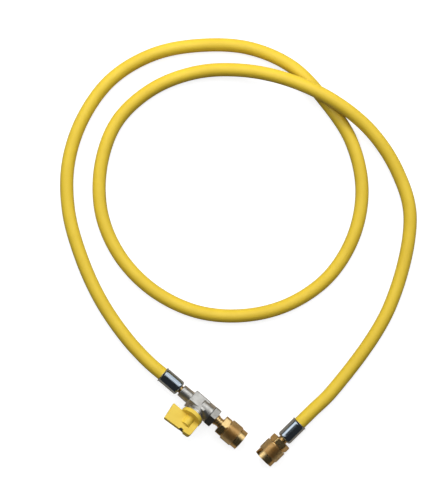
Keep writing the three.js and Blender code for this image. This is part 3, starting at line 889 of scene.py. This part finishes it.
@dataclass
class Insert:
    """A barbed insert: barbs in the hose, a collar behind the ferrule's end wall, and a neck."""

    bore: float = 1.2
    crest: float = 2.2
    root: float = 1.85
    first: float = 2.0
    count: int = 4
    hose_end: float = 15.8
    collar_radius: float = 4.6
    collar: float = 1.0
    neck: float = 3.35
    valve_end: float = 26.0

    def barbs(self) -> list[tuple[float, float, float]]:
        """The outline from the insert's tip to the neck that leaves the ferrule.

        Returns:
            Its corners: station, radius and easing.
        """
        pitch = (self.hose_end - self.first) / self.count
        outline = []
        for i in range(self.count):
            start = self.first + i * pitch
            outline += [(start, self.root, 0.05), (start + pitch, self.crest, 0.08)]
        collar_start = self.hose_end + GAP
        collar_end = collar_start + self.collar
        outline += [(collar_start, self.root, 0.0), (collar_start, self.collar_radius, 0.1),
                    (collar_end, self.collar_radius, 0.1), (collar_end, self.neck, 0.0)]
        return outline

    def valve_side(self, place: Matrix, body_start: float) -> bpy.types.Object:
        """Builds the insert that holds the hose on the valve.

        Args:
            place: the matrix of the valve end's frame.
            body_start: where the valve body starts.

        Returns:
            The object, in place.
        """
        outline = self.barbs() + [
            (body_start - 1.05, self.neck, 0.08), (body_start - 0.85, self.neck - 0.35, 0.06),
            (body_start - 0.55, self.neck - 0.35, 0.06), (body_start - 0.35, self.neck, 0.08),
            (body_start + 0.2, self.neck, 0.0), (self.valve_end, self.neck, 0.2),
            (self.valve_end, self.bore, 0.1), (self.first, self.bore, 0.1)]
        return turned("brass_insert", eased(outline), place)


@dataclass
class Swivel:
    """A swivel tube: it passes the nut's back wall and ends in a head under the gasket."""

    radius: float = 4.0
    head_radius: float = 4.75
    head: float = 3.0
    back_wall: float = 4.5
    bore: float = 1.2
    pocket: float = 1.6
    pocket_depth: float = 3.4
    thread: float = 6.5
    thread_radius: float = 3.3
    shoulder: float = 1.8
    shoulder_radius: float = 4.5

    def head_outline(self, nut_start: float) -> list[tuple[float, float, float]]:
        """The head's corners.

        Args:
            nut_start: the station of the nut's back.

        Returns:
            Its corners: station, radius and easing.
        """
        start = nut_start + self.back_wall + GAP
        return [(start, self.radius, 0.1), (start, self.head_radius, 0.15),
                (start + self.head, self.head_radius, 0.15)]

    def outlet(self, place: Matrix, cap_end: float, nut_start: float) -> bpy.types.Object:
        """Builds the valve's outlet tube, which screws into the cap.

        Args:
            place: the matrix of the valve end's frame.
            cap_end: the cap's outer face.
            nut_start: the station of the nut's back.

        Returns:
            The object, in place.
        """
        start = cap_end + GAP
        head = self.head_outline(nut_start)
        end = head[-1][0]
        outline = [
            (start - self.thread, self.thread_radius, 0.3), (start, self.thread_radius, 0.0),
            (start, self.shoulder_radius, 0.25), (start + self.shoulder, self.shoulder_radius, 0.3),
            (start + self.shoulder, self.radius, 0.12), (start + 3.6, self.radius, 0.1),
            (start + 3.75, self.radius - 0.22, 0.06), (start + 4.25, self.radius - 0.22, 0.06),
            (start + 4.4, self.radius, 0.1), *head, (end, self.pocket, 0.1),
            (end - self.pocket_depth, self.pocket, 0.0), (end - self.pocket_depth, self.bore, 0.0),
            (start - self.thread, self.bore, 0.1)]
        return turned("outlet_tube", eased(outline), place)

    def hose_end(self, place: Matrix, insert: Insert, ferrule_end: float,
                 nut_start: float) -> bpy.types.Object:
        """Builds the plain end's insert and swivel tube in one piece.

        Args:
            place: the matrix of the plain end's frame.
            insert: the sizes of its barbs.
            ferrule_end: the station of the ferrule's nose.
            nut_start: the station of the nut's back.

        Returns:
            The object, in place.
        """
        step = ferrule_end + GAP
        head = self.head_outline(nut_start)
        outline = insert.barbs() + [
            (step, insert.neck, 0.0), (step, self.radius, 0.2), (step + 0.5, self.radius, 0.12),
            (step + 0.7, self.radius - 0.25, 0.06), (step + 1.1, self.radius - 0.25, 0.06),
            (step + 1.3, self.radius, 0.12), *head, (head[-1][0], self.bore, 0.2),
            (insert.first, self.bore, 0.1)]
        return turned("swivel_insert", eased(outline), place)


@dataclass
class KnurlTree:
    """The Geometry Nodes tree that sets diamond studs in staggered rows round a nut's grip."""

    name: str = "diamond_knurl"
    mark: str = "stud"
    whole: dict[str, int] = field(default_factory=lambda: {"Around": 72, "Rows": 23})
    sizes: dict[str, float] = field(default_factory=lambda: {
        "Grip Start": 6.1, "Grip Length": 10.1, "Base Radius": 8.98, "Stud Height": 0.3,
        "Tip Share": 0.42})

    def build(self, material: bpy.types.Material) -> bpy.types.NodeTree:
        """Builds the tree.

        Args:
            material: the studs' material, a rougher brass whose lighter, paler colour paints light on
                them.

        Returns:
            The tree, which takes the bare nut and gives it back with its studs.
        """
        tree = bpy.data.node_groups.new(self.name, "GeometryNodeTree")
        face = tree.interface
        face.new_socket(name="Geometry", in_out="INPUT", socket_type="NodeSocketGeometry")
        for name, value in self.whole.items():
            face.new_socket(name=name, in_out="INPUT", socket_type="NodeSocketInt").default_value = value
        for name, value in self.sizes.items():
            face.new_socket(name=name, in_out="INPUT", socket_type="NodeSocketFloat").default_value = value
        face.new_socket(name="Geometry", in_out="OUTPUT", socket_type="NodeSocketGeometry")
        nodes = NodeTree(tree)
        given = nodes.add("NodeGroupInput").outputs
        points, angle = self._points(nodes, given)
        stud = self._stud(nodes, given)
        facing = nodes.add("ShaderNodeCombineXYZ", {"X": nodes.maths("SUBTRACT", angle, math.pi / 2)})
        set_out = nodes.add("GeometryNodeInstanceOnPoints", {
            "Points": points, "Instance": stud, "Rotation": facing.outputs[0]})
        joined = nodes.add("GeometryNodeJoinGeometry")
        for part in (set_out.outputs[0], given["Geometry"]):
            tree.links.new(part, joined.inputs[0])
        plain = nodes.add("GeometryNodeRealizeInstances", {"Geometry": joined.outputs[0]})
        on_stud = nodes.add("GeometryNodeInputNamedAttribute", {"Name": self.mark}, data_type="BOOLEAN")
        coated = nodes.add("GeometryNodeSetMaterial", {
            "Geometry": plain.outputs[0], "Selection": on_stud.outputs[0], "Material": material})
        nodes.add("NodeGroupOutput", {"Geometry": coated.outputs[0]})
        return tree

    @staticmethod
    def _points(nodes: NodeTree,
                given: bpy.types.NodeOutputs) -> tuple[bpy.types.NodeSocket, bpy.types.NodeSocket]:
        """The studs' places: staggered rows round the grip.

        Args:
            nodes: the tree that the nodes go into.
            given: the tree's inputs.

        Returns:
            The points, and the angle of each round the axis.
        """
        count = nodes.maths("MULTIPLY", given["Around"], given["Rows"])
        line = nodes.add("GeometryNodeMeshLine", {"Count": count})
        number = nodes.add("GeometryNodeInputIndex").outputs[0]
        row = nodes.maths("FLOOR", nodes.maths("DIVIDE", nodes.maths("ADD", number, 0.5), given["Around"]))
        column = nodes.maths("SUBTRACT", number, nodes.maths("MULTIPLY", row, given["Around"]))
        shift = nodes.maths("MULTIPLY", nodes.maths("MODULO", row, 2.0), 0.5)
        turn = nodes.maths("DIVIDE", nodes.maths("ADD", column, shift), given["Around"])
        angle = nodes.maths("MULTIPLY", turn, 2 * math.pi)
        step = nodes.maths("DIVIDE", given["Grip Length"], nodes.maths("ADD", given["Rows"], 1.0))
        station = nodes.maths("MULTIPLY_ADD", nodes.maths("ADD", row, 1.0), step, given["Grip Start"])
        place = nodes.add("ShaderNodeCombineXYZ", {
            "X": station,
            "Y": nodes.maths("MULTIPLY", nodes.maths("COSINE", angle), given["Base Radius"]),
            "Z": nodes.maths("MULTIPLY", nodes.maths("SINE", angle), given["Base Radius"])})
        moved = nodes.add("GeometryNodeSetPosition", {
            "Geometry": line.outputs[0], "Position": place.outputs[0]})
        return moved.outputs[0], angle

    def _stud(self, nodes: NodeTree, given: bpy.types.NodeOutputs) -> bpy.types.NodeSocket:
        """One stud: a low four-sided pyramid with its tip cut off, its faces marked for their finish.

        Args:
            nodes: the tree that the nodes go into.
            given: the tree's inputs.

        Returns:
            The stud's mesh, standing on the XY plane.
        """
        around = nodes.maths("DIVIDE", nodes.maths("MULTIPLY", given["Base Radius"], 2 * math.pi),
                             given["Around"])
        half_width = nodes.maths("MULTIPLY", around, 0.5)
        half_length = nodes.maths("DIVIDE", given["Grip Length"], nodes.maths("ADD", given["Rows"], 1.0))
        cone = nodes.add("GeometryNodeMeshCone", {
            "Vertices": 4, "Radius Top": given["Tip Share"], "Radius Bottom": 1.0, "Depth": 1.0})
        marked = nodes.add("GeometryNodeStoreNamedAttribute", {
            "Geometry": cone.outputs[0], "Name": self.mark, "Value": True},
            data_type="BOOLEAN", domain="FACE")
        scale = nodes.add("ShaderNodeCombineXYZ", {
            "X": half_length, "Y": half_width, "Z": given["Stud Height"]})
        sized = nodes.add("GeometryNodeTransform", {
            "Geometry": marked.outputs[0], "Scale": scale.outputs[0]})
        return sized.outputs[0]


@dataclass
class SwivelNut:
    """A brass swivel nut: chamfered hexagon, groove, diamond knurl, plain band and threaded mouth."""

    length: float = 22.0
    flat: float = 8.0
    flat_corner: float = 18.0
    corner_radius: float = 9.0
    hex_length: float = 5.4
    back_chamfer: float = 0.45
    front_chamfer: float = 0.95
    groove_radius: float = 7.75
    grip_start: float = 6.1
    grip_end: float = 16.2
    grip_base: float = 9.0
    stud_sink: float = 0.02
    band_radius: float = 8.5
    shaft_bore: float = 4.3
    back_wall: float = 4.5
    relief_radius: float = 5.7
    relief_end: float = 10.4
    thread_radius: float = 5.05
    thread_depth: float = 0.5
    thread_pitch: float = 1.27
    mouth_radius: float = 5.8

    def _outside(self, angles: np.ndarray, turn: float) -> list[tuple[float, float | np.ndarray]]:
        """The rings of the nut's outside, from its back to its mouth.

        Args:
            angles: the angles of the points round the axis.
            turn: the angle of the middle of one of the hexagon's sides.

        Returns:
            The rings' stations and radii.
        """
        hexagon = polygon_radius(angles, 6, self.flat, turn, self.flat_corner)
        rings: list[tuple[float, float | np.ndarray]] = []
        back = np.linspace(0, self.back_chamfer + 0.1, 6)
        front = np.linspace(self.hex_length - self.front_chamfer - 0.1, self.hex_length, 12)
        for station in [*back, 2.0, 3.2, *front]:
            from_back = self.corner_radius - max(0.0, self.back_chamfer - station)
            left = self.hex_length - station
            from_front = self.corner_radius - 0.85 * max(0.0, self.front_chamfer - left)
            rings.append((station, np.minimum(hexagon, min(from_back, from_front))))
        outline = eased([
            (self.hex_length, self.groove_radius, 0.12), (self.grip_start, self.groove_radius, 0.12),
            (self.grip_start, self.grip_base, 0.15), (self.grip_end, self.grip_base, 0.15),
            (self.grip_end, self.band_radius - 0.35, 0.1),
            (self.grip_end + 0.35, self.band_radius - 0.35, 0.1),
            (self.grip_end + 0.45, self.band_radius, 0.1), (self.length, self.band_radius, 0.55)])
        return rings + outline

    def _inside(self, angles: np.ndarray) -> list[tuple[float, float | np.ndarray]]:
        """The rings of the nut's bore, from its mouth to its back, with a right-hand thread.

        Args:
            angles: the angles of the points round the axis.

        Returns:
            The rings' stations and radii.
        """
        start, end = self.relief_end + 0.2, self.length - 0.75
        rings: list[tuple[float, float | np.ndarray]] = [
            (self.length, self.mouth_radius + 0.15), (self.length - 0.15, self.mouth_radius)]
        for station in np.arange(end, start, -self.thread_pitch / 8):
            phase = np.mod(station / self.thread_pitch - angles / (2 * math.pi), 1.0)
            ridge = np.clip(2.6 * np.abs(phase - 0.5) - 0.15, 0.0, 1.0)
            fade = min(1.0, (station - start) / 0.8)
            rings.append((station, self.thread_radius + self.thread_depth * (1 - ridge) * fade))
        rings += [(self.relief_end, self.thread_radius), (self.relief_end, self.relief_radius),
                  (self.back_wall, self.relief_radius), (self.back_wall, self.shaft_bore + 0.1),
                  (self.back_wall - 0.1, self.shaft_bore), (0.25, self.shaft_bore),
                  (0.0, self.shaft_bore + 0.25)]
        return rings

    def build(self, name: str, place: Matrix, start: float, turn: float,
              knurl: bpy.types.NodeTree) -> bpy.types.Object:
        """Builds the nut.

        Args:
            name: the object's name.
            place: the matrix of its end's frame.
            start: the station of its back.
            turn: the angle of the middle of one of the hexagon's sides.
            knurl: the Geometry Nodes tree that adds its knurl.

        Returns:
            The object, in place.
        """
        angles = round_angles(120, 6, turn)
        rings = self._outside(angles, turn) + self._inside(angles)
        piece = turned(name, rings, Matrix.Identity(4), angles)
        piece.data.materials.append(material_of(BRASS))
        modifier = piece.modifiers.new("knurl", "NODES")
        modifier.node_group = knurl
        values = {"Grip Start": self.grip_start, "Grip Length": self.grip_end - self.grip_start,
                  "Base Radius": self.grip_base - self.stud_sink}
        for socket in knurl.interface.items_tree:
            if socket.in_out == "INPUT" and socket.name in values:
                modifier[socket.identifier] = values[socket.name]
        evaluated(piece)
        return settle(piece, place @ Matrix.Translation((start, 0, 0)), sharp=28.0)


@dataclass
class ValveBody:
    """The valve's casting: neck, block, round end and stem boss, bored from three sides."""

    start: float = 20.1
    block_start: float = 30.0
    stem_station: float = 40.2
    block_end: float = 45.0
    end: float = 50.95
    neck_radius: float = 5.25
    neck_end_radius: float = 5.6
    side: float = 11.7
    depth: float = 14.6
    edge: float = 1.2
    round_radius: float = 8.0
    foot_radius: float = 7.1
    boss_radius: float = 7.9
    boss_height: float = 10.8
    boss_seat: float = 8.3
    socket: float = 3.65
    socket_depth: float = 6.2
    passage: float = 1.9
    cavity: float = 4.4
    cavity_reach: float = 5.2
    cap_thread: float = 6.0
    cap_depth: float = 4.8
    stem_bore: float = 2.5
    shoulder: float = 3.3
    shoulder_height: float = 5.9
    voxel: float = 0.24
    smoothing: int = 5

    def build(self, stem: Matrix) -> bpy.types.Object:
        """Builds the casting in the stem's frame, where the flow runs along +Y.

        Args:
            stem: the matrix of the stem's frame.

        Returns:
            The object, in place, with a machined boss.
        """
        start, end = self.start - self.stem_station, self.end - self.stem_station
        low, high = self.block_start - self.stem_station, self.block_end - self.stem_station
        half = self.side / 2
        deep = self.depth / 2
        block = plate("block", [(-half, -deep, self.edge), (half, -deep, self.edge),
                                (half, deep, self.edge), (-half, deep, self.edge)], low, high)
        block.data.transform(Matrix.Rotation(-math.pi / 2, 4, "X"))
        neck = self._neck()
        barrel = rod("barrel", 0.0, end, self.round_radius, 96, True)
        foot = rod("foot", 0.0, self.boss_seat + 0.3, self.foot_radius, 96)
        piece = moulded("valve_casting", [block, neck, barrel, foot], self.voxel, self.smoothing)
        cut(piece, [self._flange()], "UNION")
        cut(piece, [
            rod("insert_socket", start - 1, start + self.socket_depth, self.socket, 48, True),
            rod("passage", start + 5, 0.0, self.passage, 32, True),
            rod("cavity", -self.cavity_reach, end + 1, self.cavity, 48, True),
            rod("cap_thread", end - self.cap_depth, end + 1, self.cap_thread, 48, True),
            rod("stem_bore", 0.0, self.boss_height + 1, self.stem_bore, 32),
            rod("stem_shoulder", 0.0, self.shoulder_height, self.shoulder, 32)])
        self._dress(piece)
        return settle(piece, stem, sharp=40.0)

    def _flange(self) -> bpy.types.Object:
        """The machined flange under the lever, with two turned steps.

        Returns:
            A closed volume about the stem.
        """
        seat, top, radius = self.boss_seat, self.boss_height, self.boss_radius
        outline = eased([(seat - 2.0, 0.0, 0.0), (seat - 2.0, self.foot_radius - 0.6, 0.0),
                         (seat, self.foot_radius - 0.6, 0.0), (seat, radius, 0.25),
                         (seat + 1.1, radius, 0.08), (seat + 1.2, radius - 0.12, 0.05),
                         (seat + 1.4, radius - 0.12, 0.05), (seat + 1.5, radius, 0.08),
                         (top, radius, 0.5), (top, 0.0, 0.0)])
        return turned("flange", outline, Matrix.Identity(4), round_angles(128), closed=False)

    def _neck(self) -> bpy.types.Object:
        """The neck that takes the insert.

        Returns:
            A slightly tapered volume along the flow.
        """
        shape = bmesh.new()
        length = self.block_start + 2 - self.start
        bmesh.ops.create_cone(shape, cap_ends=True, segments=96, radius1=self.neck_radius,
                              radius2=self.neck_end_radius, depth=length)
        middle = self.start + length / 2 - self.stem_station
        shape.transform(Matrix.Translation((0, middle, 0)) @ Matrix.Rotation(-math.pi / 2, 4, "X"))
        return volume("neck", shape)

    def _dress(self, piece: bpy.types.Object) -> None:
        """Gives the boss its machined finish and the rest its cast one.

        Args:
            piece: the casting, drawn in millimetres in the stem's frame.
        """
        for finish in (CAST_NICKEL, MACHINED_NICKEL):
            piece.data.materials.append(material_of(finish))
        for face in piece.data.polygons:
            x, y, z = face.center
            on_boss = x > self.boss_seat - 0.02 and math.hypot(y, z) < self.boss_radius + 0.1
            face.material_index = int(on_boss)
        layer = piece.data.uv_layers.get(LATHE_UV) or piece.data.uv_layers.new(name=LATHE_UV)
        for loop in piece.data.loops:
            x, y, z = piece.data.vertices[loop.vertex_index].co
            around = math.atan2(z, y) * self.boss_radius
            layer.data[loop.index].uv = ((x + math.hypot(y, z)) * MM, around * MM)


@dataclass
class EndCap:
    """The hexagon cap that closes the valve's body."""

    flat: float = 7.95
    corner_reach: float = 1.14
    start: float = 51.25
    end: float = 56.65
    chamfer: float = 0.55
    nose_start: float = 45.4
    thread_start: float = 46.45
    nose_radius: float = 4.1
    thread_radius: float = 5.7
    passage: float = 1.9
    socket_radius: float = 3.6
    socket_start: float = 50.15

    def build(self, place: Matrix) -> bpy.types.Object:
        """Builds the cap.

        Args:
            place: the matrix of the valve end's frame.

        Returns:
            The object, in place.
        """
        angles = round_angles(120, 6)
        hexagon = polygon_radius(angles, 6, self.flat, 0.0)
        corner = self.flat * self.corner_reach
        rings: list[tuple[float, float | np.ndarray]] = [
            (self.nose_start, self.passage), (self.nose_start, self.nose_radius),
            (self.thread_start, self.nose_radius), (self.thread_start, self.thread_radius),
            (self.start, self.thread_radius)]
        low = np.linspace(self.start, self.start + 0.3, 4)
        high = np.linspace(self.end - self.chamfer - 0.1, self.end, 8)
        for station in [*low, self.start + 1.2, *high]:
            from_low = corner - max(0.0, self.start + 0.2 - station)
            from_high = corner - 2 * max(0.0, station - self.end + self.chamfer)
            rings.append((station, np.minimum(hexagon, min(from_low, from_high))))
        rings += [(self.end, self.socket_radius + 0.3), (self.end - 0.3, self.socket_radius),
                  (self.socket_start, self.socket_radius), (self.socket_start, self.passage)]
        return turned("cap_hexagon", rings, place, angles)


@dataclass
class Lever:
    """The yellow lever: disc, flat wing, hub and thicker tail, moulded in one with soft edges."""

    inner: float = 11.1
    disc_radius: float = 9.6
    disc: float = 3.6
    overlap: float = 0.4
    outer: float = 28.7
    slope: float = 0.08
    inner_reach: float = 18.2
    outer_reach: float = 16.6
    tail: float = 9.0
    thickness: float = 3.4
    pad: float = 1.6
    pad_start: float = 2.9
    hub_radius: float = 4.1
    hub: float = 11.9
    square: float = 4.0
    square_end: float = 20.4
    screw_bore: float = 1.3
    recess_radius: float = 2.2
    recess: float = 1.5
    voxel: float = 0.22
    smoothing: int = 6

    def build(self, stem: Matrix) -> bpy.types.Object:
        """Builds the lever.

        Args:
            stem: the matrix of the stem's frame.

        Returns:
            The object, in place.
        """
        half = self.thickness / 2
        root = self.inner + self.disc - self.overlap
        disc = rod("disc", self.inner, self.inner + self.disc, self.disc_radius, 128)
        hub = rod("hub", self.inner, self.inner + self.hub, self.hub_radius, 96)
        tip, end = self._edge(-self.outer_reach), self._edge(self.tail)
        wing = plate("wing", [(root, -self.inner_reach, 0.0), (tip, -self.outer_reach, 1.0),
                              (end, self.tail, 3.0), (root, self.tail, 0.0)], -half, half)
        pad = plate("pad", [(root, self.pad_start, 0.0), (self._edge(self.pad_start), self.pad_start, 0.6),
                            (end, self.tail, 3.0), (root, self.tail, 0.0)], -half - self.pad, 0.0)
        piece = moulded("lever_handle", [disc, hub, wing, pad], self.voxel, self.smoothing)
        socket = self.square / 2
        cut(piece, [
            plate("square", [(self.inner - 1, -socket, 0.0), (self.square_end, -socket, 0.0),
                             (self.square_end, socket, 0.0), (self.inner - 1, socket, 0.0)],
                  -socket, socket),
            rod("screw_bore", self.square_end - 0.5, self.outer + 1, self.screw_bore, 32),
            rod("recess", self.outer - self.recess, self.outer + 1, self.recess_radius, 48)])
        return settle(piece, stem, sharp=40.0)

    def _edge(self, along: float) -> float:
        """The height of the sloping outer edge at a place along the flow."""
        return self.outer - self.slope * along


@dataclass
class LeverScrew:
    """The slotted screw in the lever's notch."""

    start: float = 15.4
    head_start: float = 27.5
    head: float = 1.0
    radius: float = 1.0
    head_radius: float = 1.9
    slot_width: float = 0.6
    slot_depth: float = 0.5

    def build(self, stem: Matrix) -> bpy.types.Object:
        """Builds the screw.

        Args:
            stem: the matrix of the stem's frame.

        Returns:
            The object, in place.
        """
        end = self.head_start + self.head
        outline = eased([(self.start, 0.0, 0.0), (self.start, self.radius, 0.15),
                         (self.head_start, self.radius, 0.0), (self.head_start, self.head_radius, 0.1),
                         (end, self.head_radius, 0.3), (end, 0.0, 0.0)])
        piece = turned("handle_screw", outline, Matrix.Identity(4), round_angles(48), closed=False)
        half = self.slot_width / 2
        reach = self.head_radius + 1
        slot = plate("slot", [(end - self.slot_depth, -half, 0.0), (end + 1, -half, 0.0),
                              (end + 1, half, 0.0), (end - self.slot_depth, half, 0.0)], -reach, reach)
        return settle(cut(piece, [slot]), stem)


@dataclass
class Studio:
    """A pale floor, soft lights and the camera that looks straight down."""

    aim: tuple[float, float, float] = (-0.0895, 0.09965, 0.009)
    picture_turn: float = 40.4
    height: float = 1.6
    view_height: float = 0.410
    sensor: float = 36.0
    sheet_reach: float = 6.0
    sheet_gap: float = 0.0005

    def camera(self) -> bpy.types.Object:
        """Makes the scene's camera.

        Returns:
            The camera.
        """
        data = bpy.data.cameras.new("camera")
        data.sensor_width = self.sensor
        data.lens = self.sensor * (self.height - self.aim[2]) / self.view_height
        camera = bpy.data.objects.new("camera", data)
        bpy.context.scene.collection.objects.link(camera)
        camera.location = (self.aim[0], self.aim[1], self.height)
        camera.rotation_euler = (0.0, 0.0, math.radians(self.picture_turn))
        bpy.context.scene.camera = camera
        return camera

    def _softbox(self, name: str, right: float, up: float, height: float, size: tuple[float, float],
                 brightness: float, mirrored: bool = True, lighting: bool = True,
                 colour: tuple[float, float, float] = (1.0, 1.0, 1.0)) -> None:
        """Hangs an area light that faces straight down.

        Args:
            name: the light's name.
            right: how far it is to the picture's right, in metres.
            up: how far it is towards the picture's top.
            height: how high it hangs.
            size: its two widths.
            brightness: how bright its face looks.
            mirrored: whether it shows in the bright metal.
            lighting: whether it lights the dull surfaces.
            colour: its colour.
        """
        turn = math.radians(self.picture_turn)
        place = Vector((self.aim[0] + right * math.cos(turn) - up * math.sin(turn),
                        self.aim[1] + right * math.sin(turn) + up * math.cos(turn), height))
        data = bpy.data.lights.new(name, "AREA")
        data.shape = "RECTANGLE"
        data.size, data.size_y = size
        data.energy = brightness * math.pi * size[0] * size[1]
        data.color = colour
        light = bpy.data.objects.new(name, data)
        bpy.context.scene.collection.objects.link(light)
        light.location = place
        light.rotation_euler = (0.0, 0.0, turn)
        light.visible_camera = False
        light.visible_glossy = mirrored
        light.visible_diffuse = lighting

    def lights(self) -> None:
        """Hangs the studio's lights and sets its surroundings."""
        self._softbox("key", right=0.3, up=1.75, height=1.3, size=(6.4, 3.1), brightness=1.05,
                      colour=(0.94, 0.97, 1.0))
        self._softbox("strip", right=0.0, up=0.95, height=1.28, size=(6.0, 0.4), brightness=0.8,
                      lighting=False)
        self._softbox("top", right=0.0, up=0.2, height=2.2, size=(2.4, 2.4), brightness=1.1,
                      mirrored=False)
        self._softbox("side", right=-0.2, up=2.3, height=1.5, size=(1.4, 1.4), brightness=12.0,
                      mirrored=False)
        world = bpy.data.worlds.new("studio")
        world.use_nodes = True
        nodes = NodeTree(world.node_tree)
        sky = nodes.add("ShaderNodeBackground", {"Color": (0.9, 0.95, 1.0, 1.0), "Strength": 0.04})
        nodes.add("ShaderNodeOutputWorld", {"Surface": sky.outputs[0]})
        bpy.context.scene.world = world
        bpy.context.scene.view_settings.view_transform = "Standard"

    def _sheet(self, name: str, height: float, material_name: str, inputs: dict) -> bpy.types.Object:
        """Makes a wide level sheet with a plain material.

        Args:
            name: the sheet's name.
            height: how high it lies, in metres.
            material_name: its material's name.
            inputs: what the material's shader takes, by name.

        Returns:
            The sheet.
        """
        low, high = -self.sheet_reach, self.sheet_reach
        corners = [(low, low, height), (high, low, height), (high, high, height), (low, high, height)]
        sheet = mesh_piece(name, np.array(corners), [(0, 1, 2, 3)])
        material = bpy.data.materials.new(material_name)
        material.use_nodes = True
        nodes = NodeTree(material.node_tree)
        shader = nodes.add("ShaderNodeBsdfPrincipled", inputs)
        nodes.add("ShaderNodeOutputMaterial", {"Surface": shader.outputs[0]})
        sheet.data.materials.append(material)
        return sheet

    def floor(self) -> bpy.types.Object:
        """Lays the pale floor.

        Returns:
            The floor.
        """
        floor = self._sheet("studio_floor", 0.0, "pale_paper", {
            "Base Color": (0.5, 0.5, 0.5, 1.0), "Roughness": 0.85,
            "Emission Color": (1.0, 1.0, 1.0, 1.0), "Emission Strength": 0.78})
        floor.visible_glossy = False
        floor.visible_diffuse = False
        floor.visible_shadow = False
        return floor

    def table(self) -> bpy.types.Object:
        """Lays the table under the floor's paper, which shows only in the bright metal.

        Returns:
            The table.
        """
        table = self._sheet("studio_table", -self.sheet_gap, "table_top", {
            "Base Color": (0.42, 0.34, 0.255, 1.0), "Roughness": 0.85})
        table.visible_camera = False
        table.visible_diffuse = False
        return table


HIDDEN_NODES = {
    "ball": STEEL, "stem": BRASS, "stem_o_ring": BLACK_RUBBER, "inlet_seat": SEAT_PLASTIC,
    "outlet_seat": SEAT_PLASTIC, "valve_gasket": BLACK_RUBBER, "end_gasket": BLACK_RUBBER,
    "core_depressor": BRASS}


def dress_hidden_nodes() -> None:
    """Gives the CAD nodes that stay their finishes."""
    for name, finish in HIDDEN_NODES.items():
        node = frame["nodes"][name]
        node.data.materials.clear()
        node.data.materials.append(material_of(finish))
        LOG.info("%s keeps its CAD solid", name)


def main() -> None:
    """Builds the studio, the hose and its fittings, in that order."""
    logging.basicConfig(level=logging.INFO, format="%(name)s: %(message)s")
    studio = Studio()
    studio.camera()
    valve = joint_frame("valve_nut_spin", VALVE_NUT_JOINT)
    plain = joint_frame("end_nut_spin", PLAIN_NUT_JOINT)
    stem = lever_frame()
    rim = valve.translation
    tube, centres = Hose().build(Vector((rim.x, rim.y, 0.0)))
    finished(tube, "hose_and_fittings", HOSE_RUBBER, ["hose"])

    fittings = "hose_and_fittings"
    insert, swivel, ferrule, body, cap = Insert(), Swivel(), Ferrule(), ValveBody(), EndCap()
    knurl = KnurlTree().build(material_of(KNURL_BRASS_PAINTED_LIGHT))
    nut = SwivelNut()
    finished(ferrule.build("valve_sleeve", valve), fittings, BRIGHT_ZINC, ["valve_ferrule"])
    sleeve = finished(ferrule.build("plain_sleeve", plain), fittings, BRIGHT_ZINC, ["end_ferrule"])
    finished(insert.valve_side(valve, body.start), fittings, BRASS, ["valve_insert"])
    neck = finished(swivel.hose_end(plain, insert, ferrule.length, PLAIN_NUT_START), fittings, BRASS,
                    ["end_stem"])
    finished(body.build(stem), fittings, CAST_NICKEL, ["valve_body"])
    finished(cap.build(valve), fittings, CAP_NICKEL, ["end_cap"])
    finished(swivel.outlet(valve, cap.end, VALVE_NUT_START), fittings, BRASS, ["outlet_stem"])
    finished(nut.build("valve_side_nut", valve, VALVE_NUT_START, 0.0, knurl), "valve_nut", BRASS,
             ["valve_nut"])
    far_nut = finished(nut.build("plain_side_nut", plain, PLAIN_NUT_START, PLAIN_NUT_TURN, knurl),
                       "end_nut", BRASS, ["end_nut"])
    finished(Lever().build(stem), "lever", LEVER_PLASTIC, ["lever"])
    finished(LeverScrew().build(stem), "lever", NOTCH_SHADE_STEEL, ["lever_screw"])
    dress_hidden_nodes()
    studio.lights()
    studio.floor()
    studio.table()


if __name__ == "__main__":
    main()
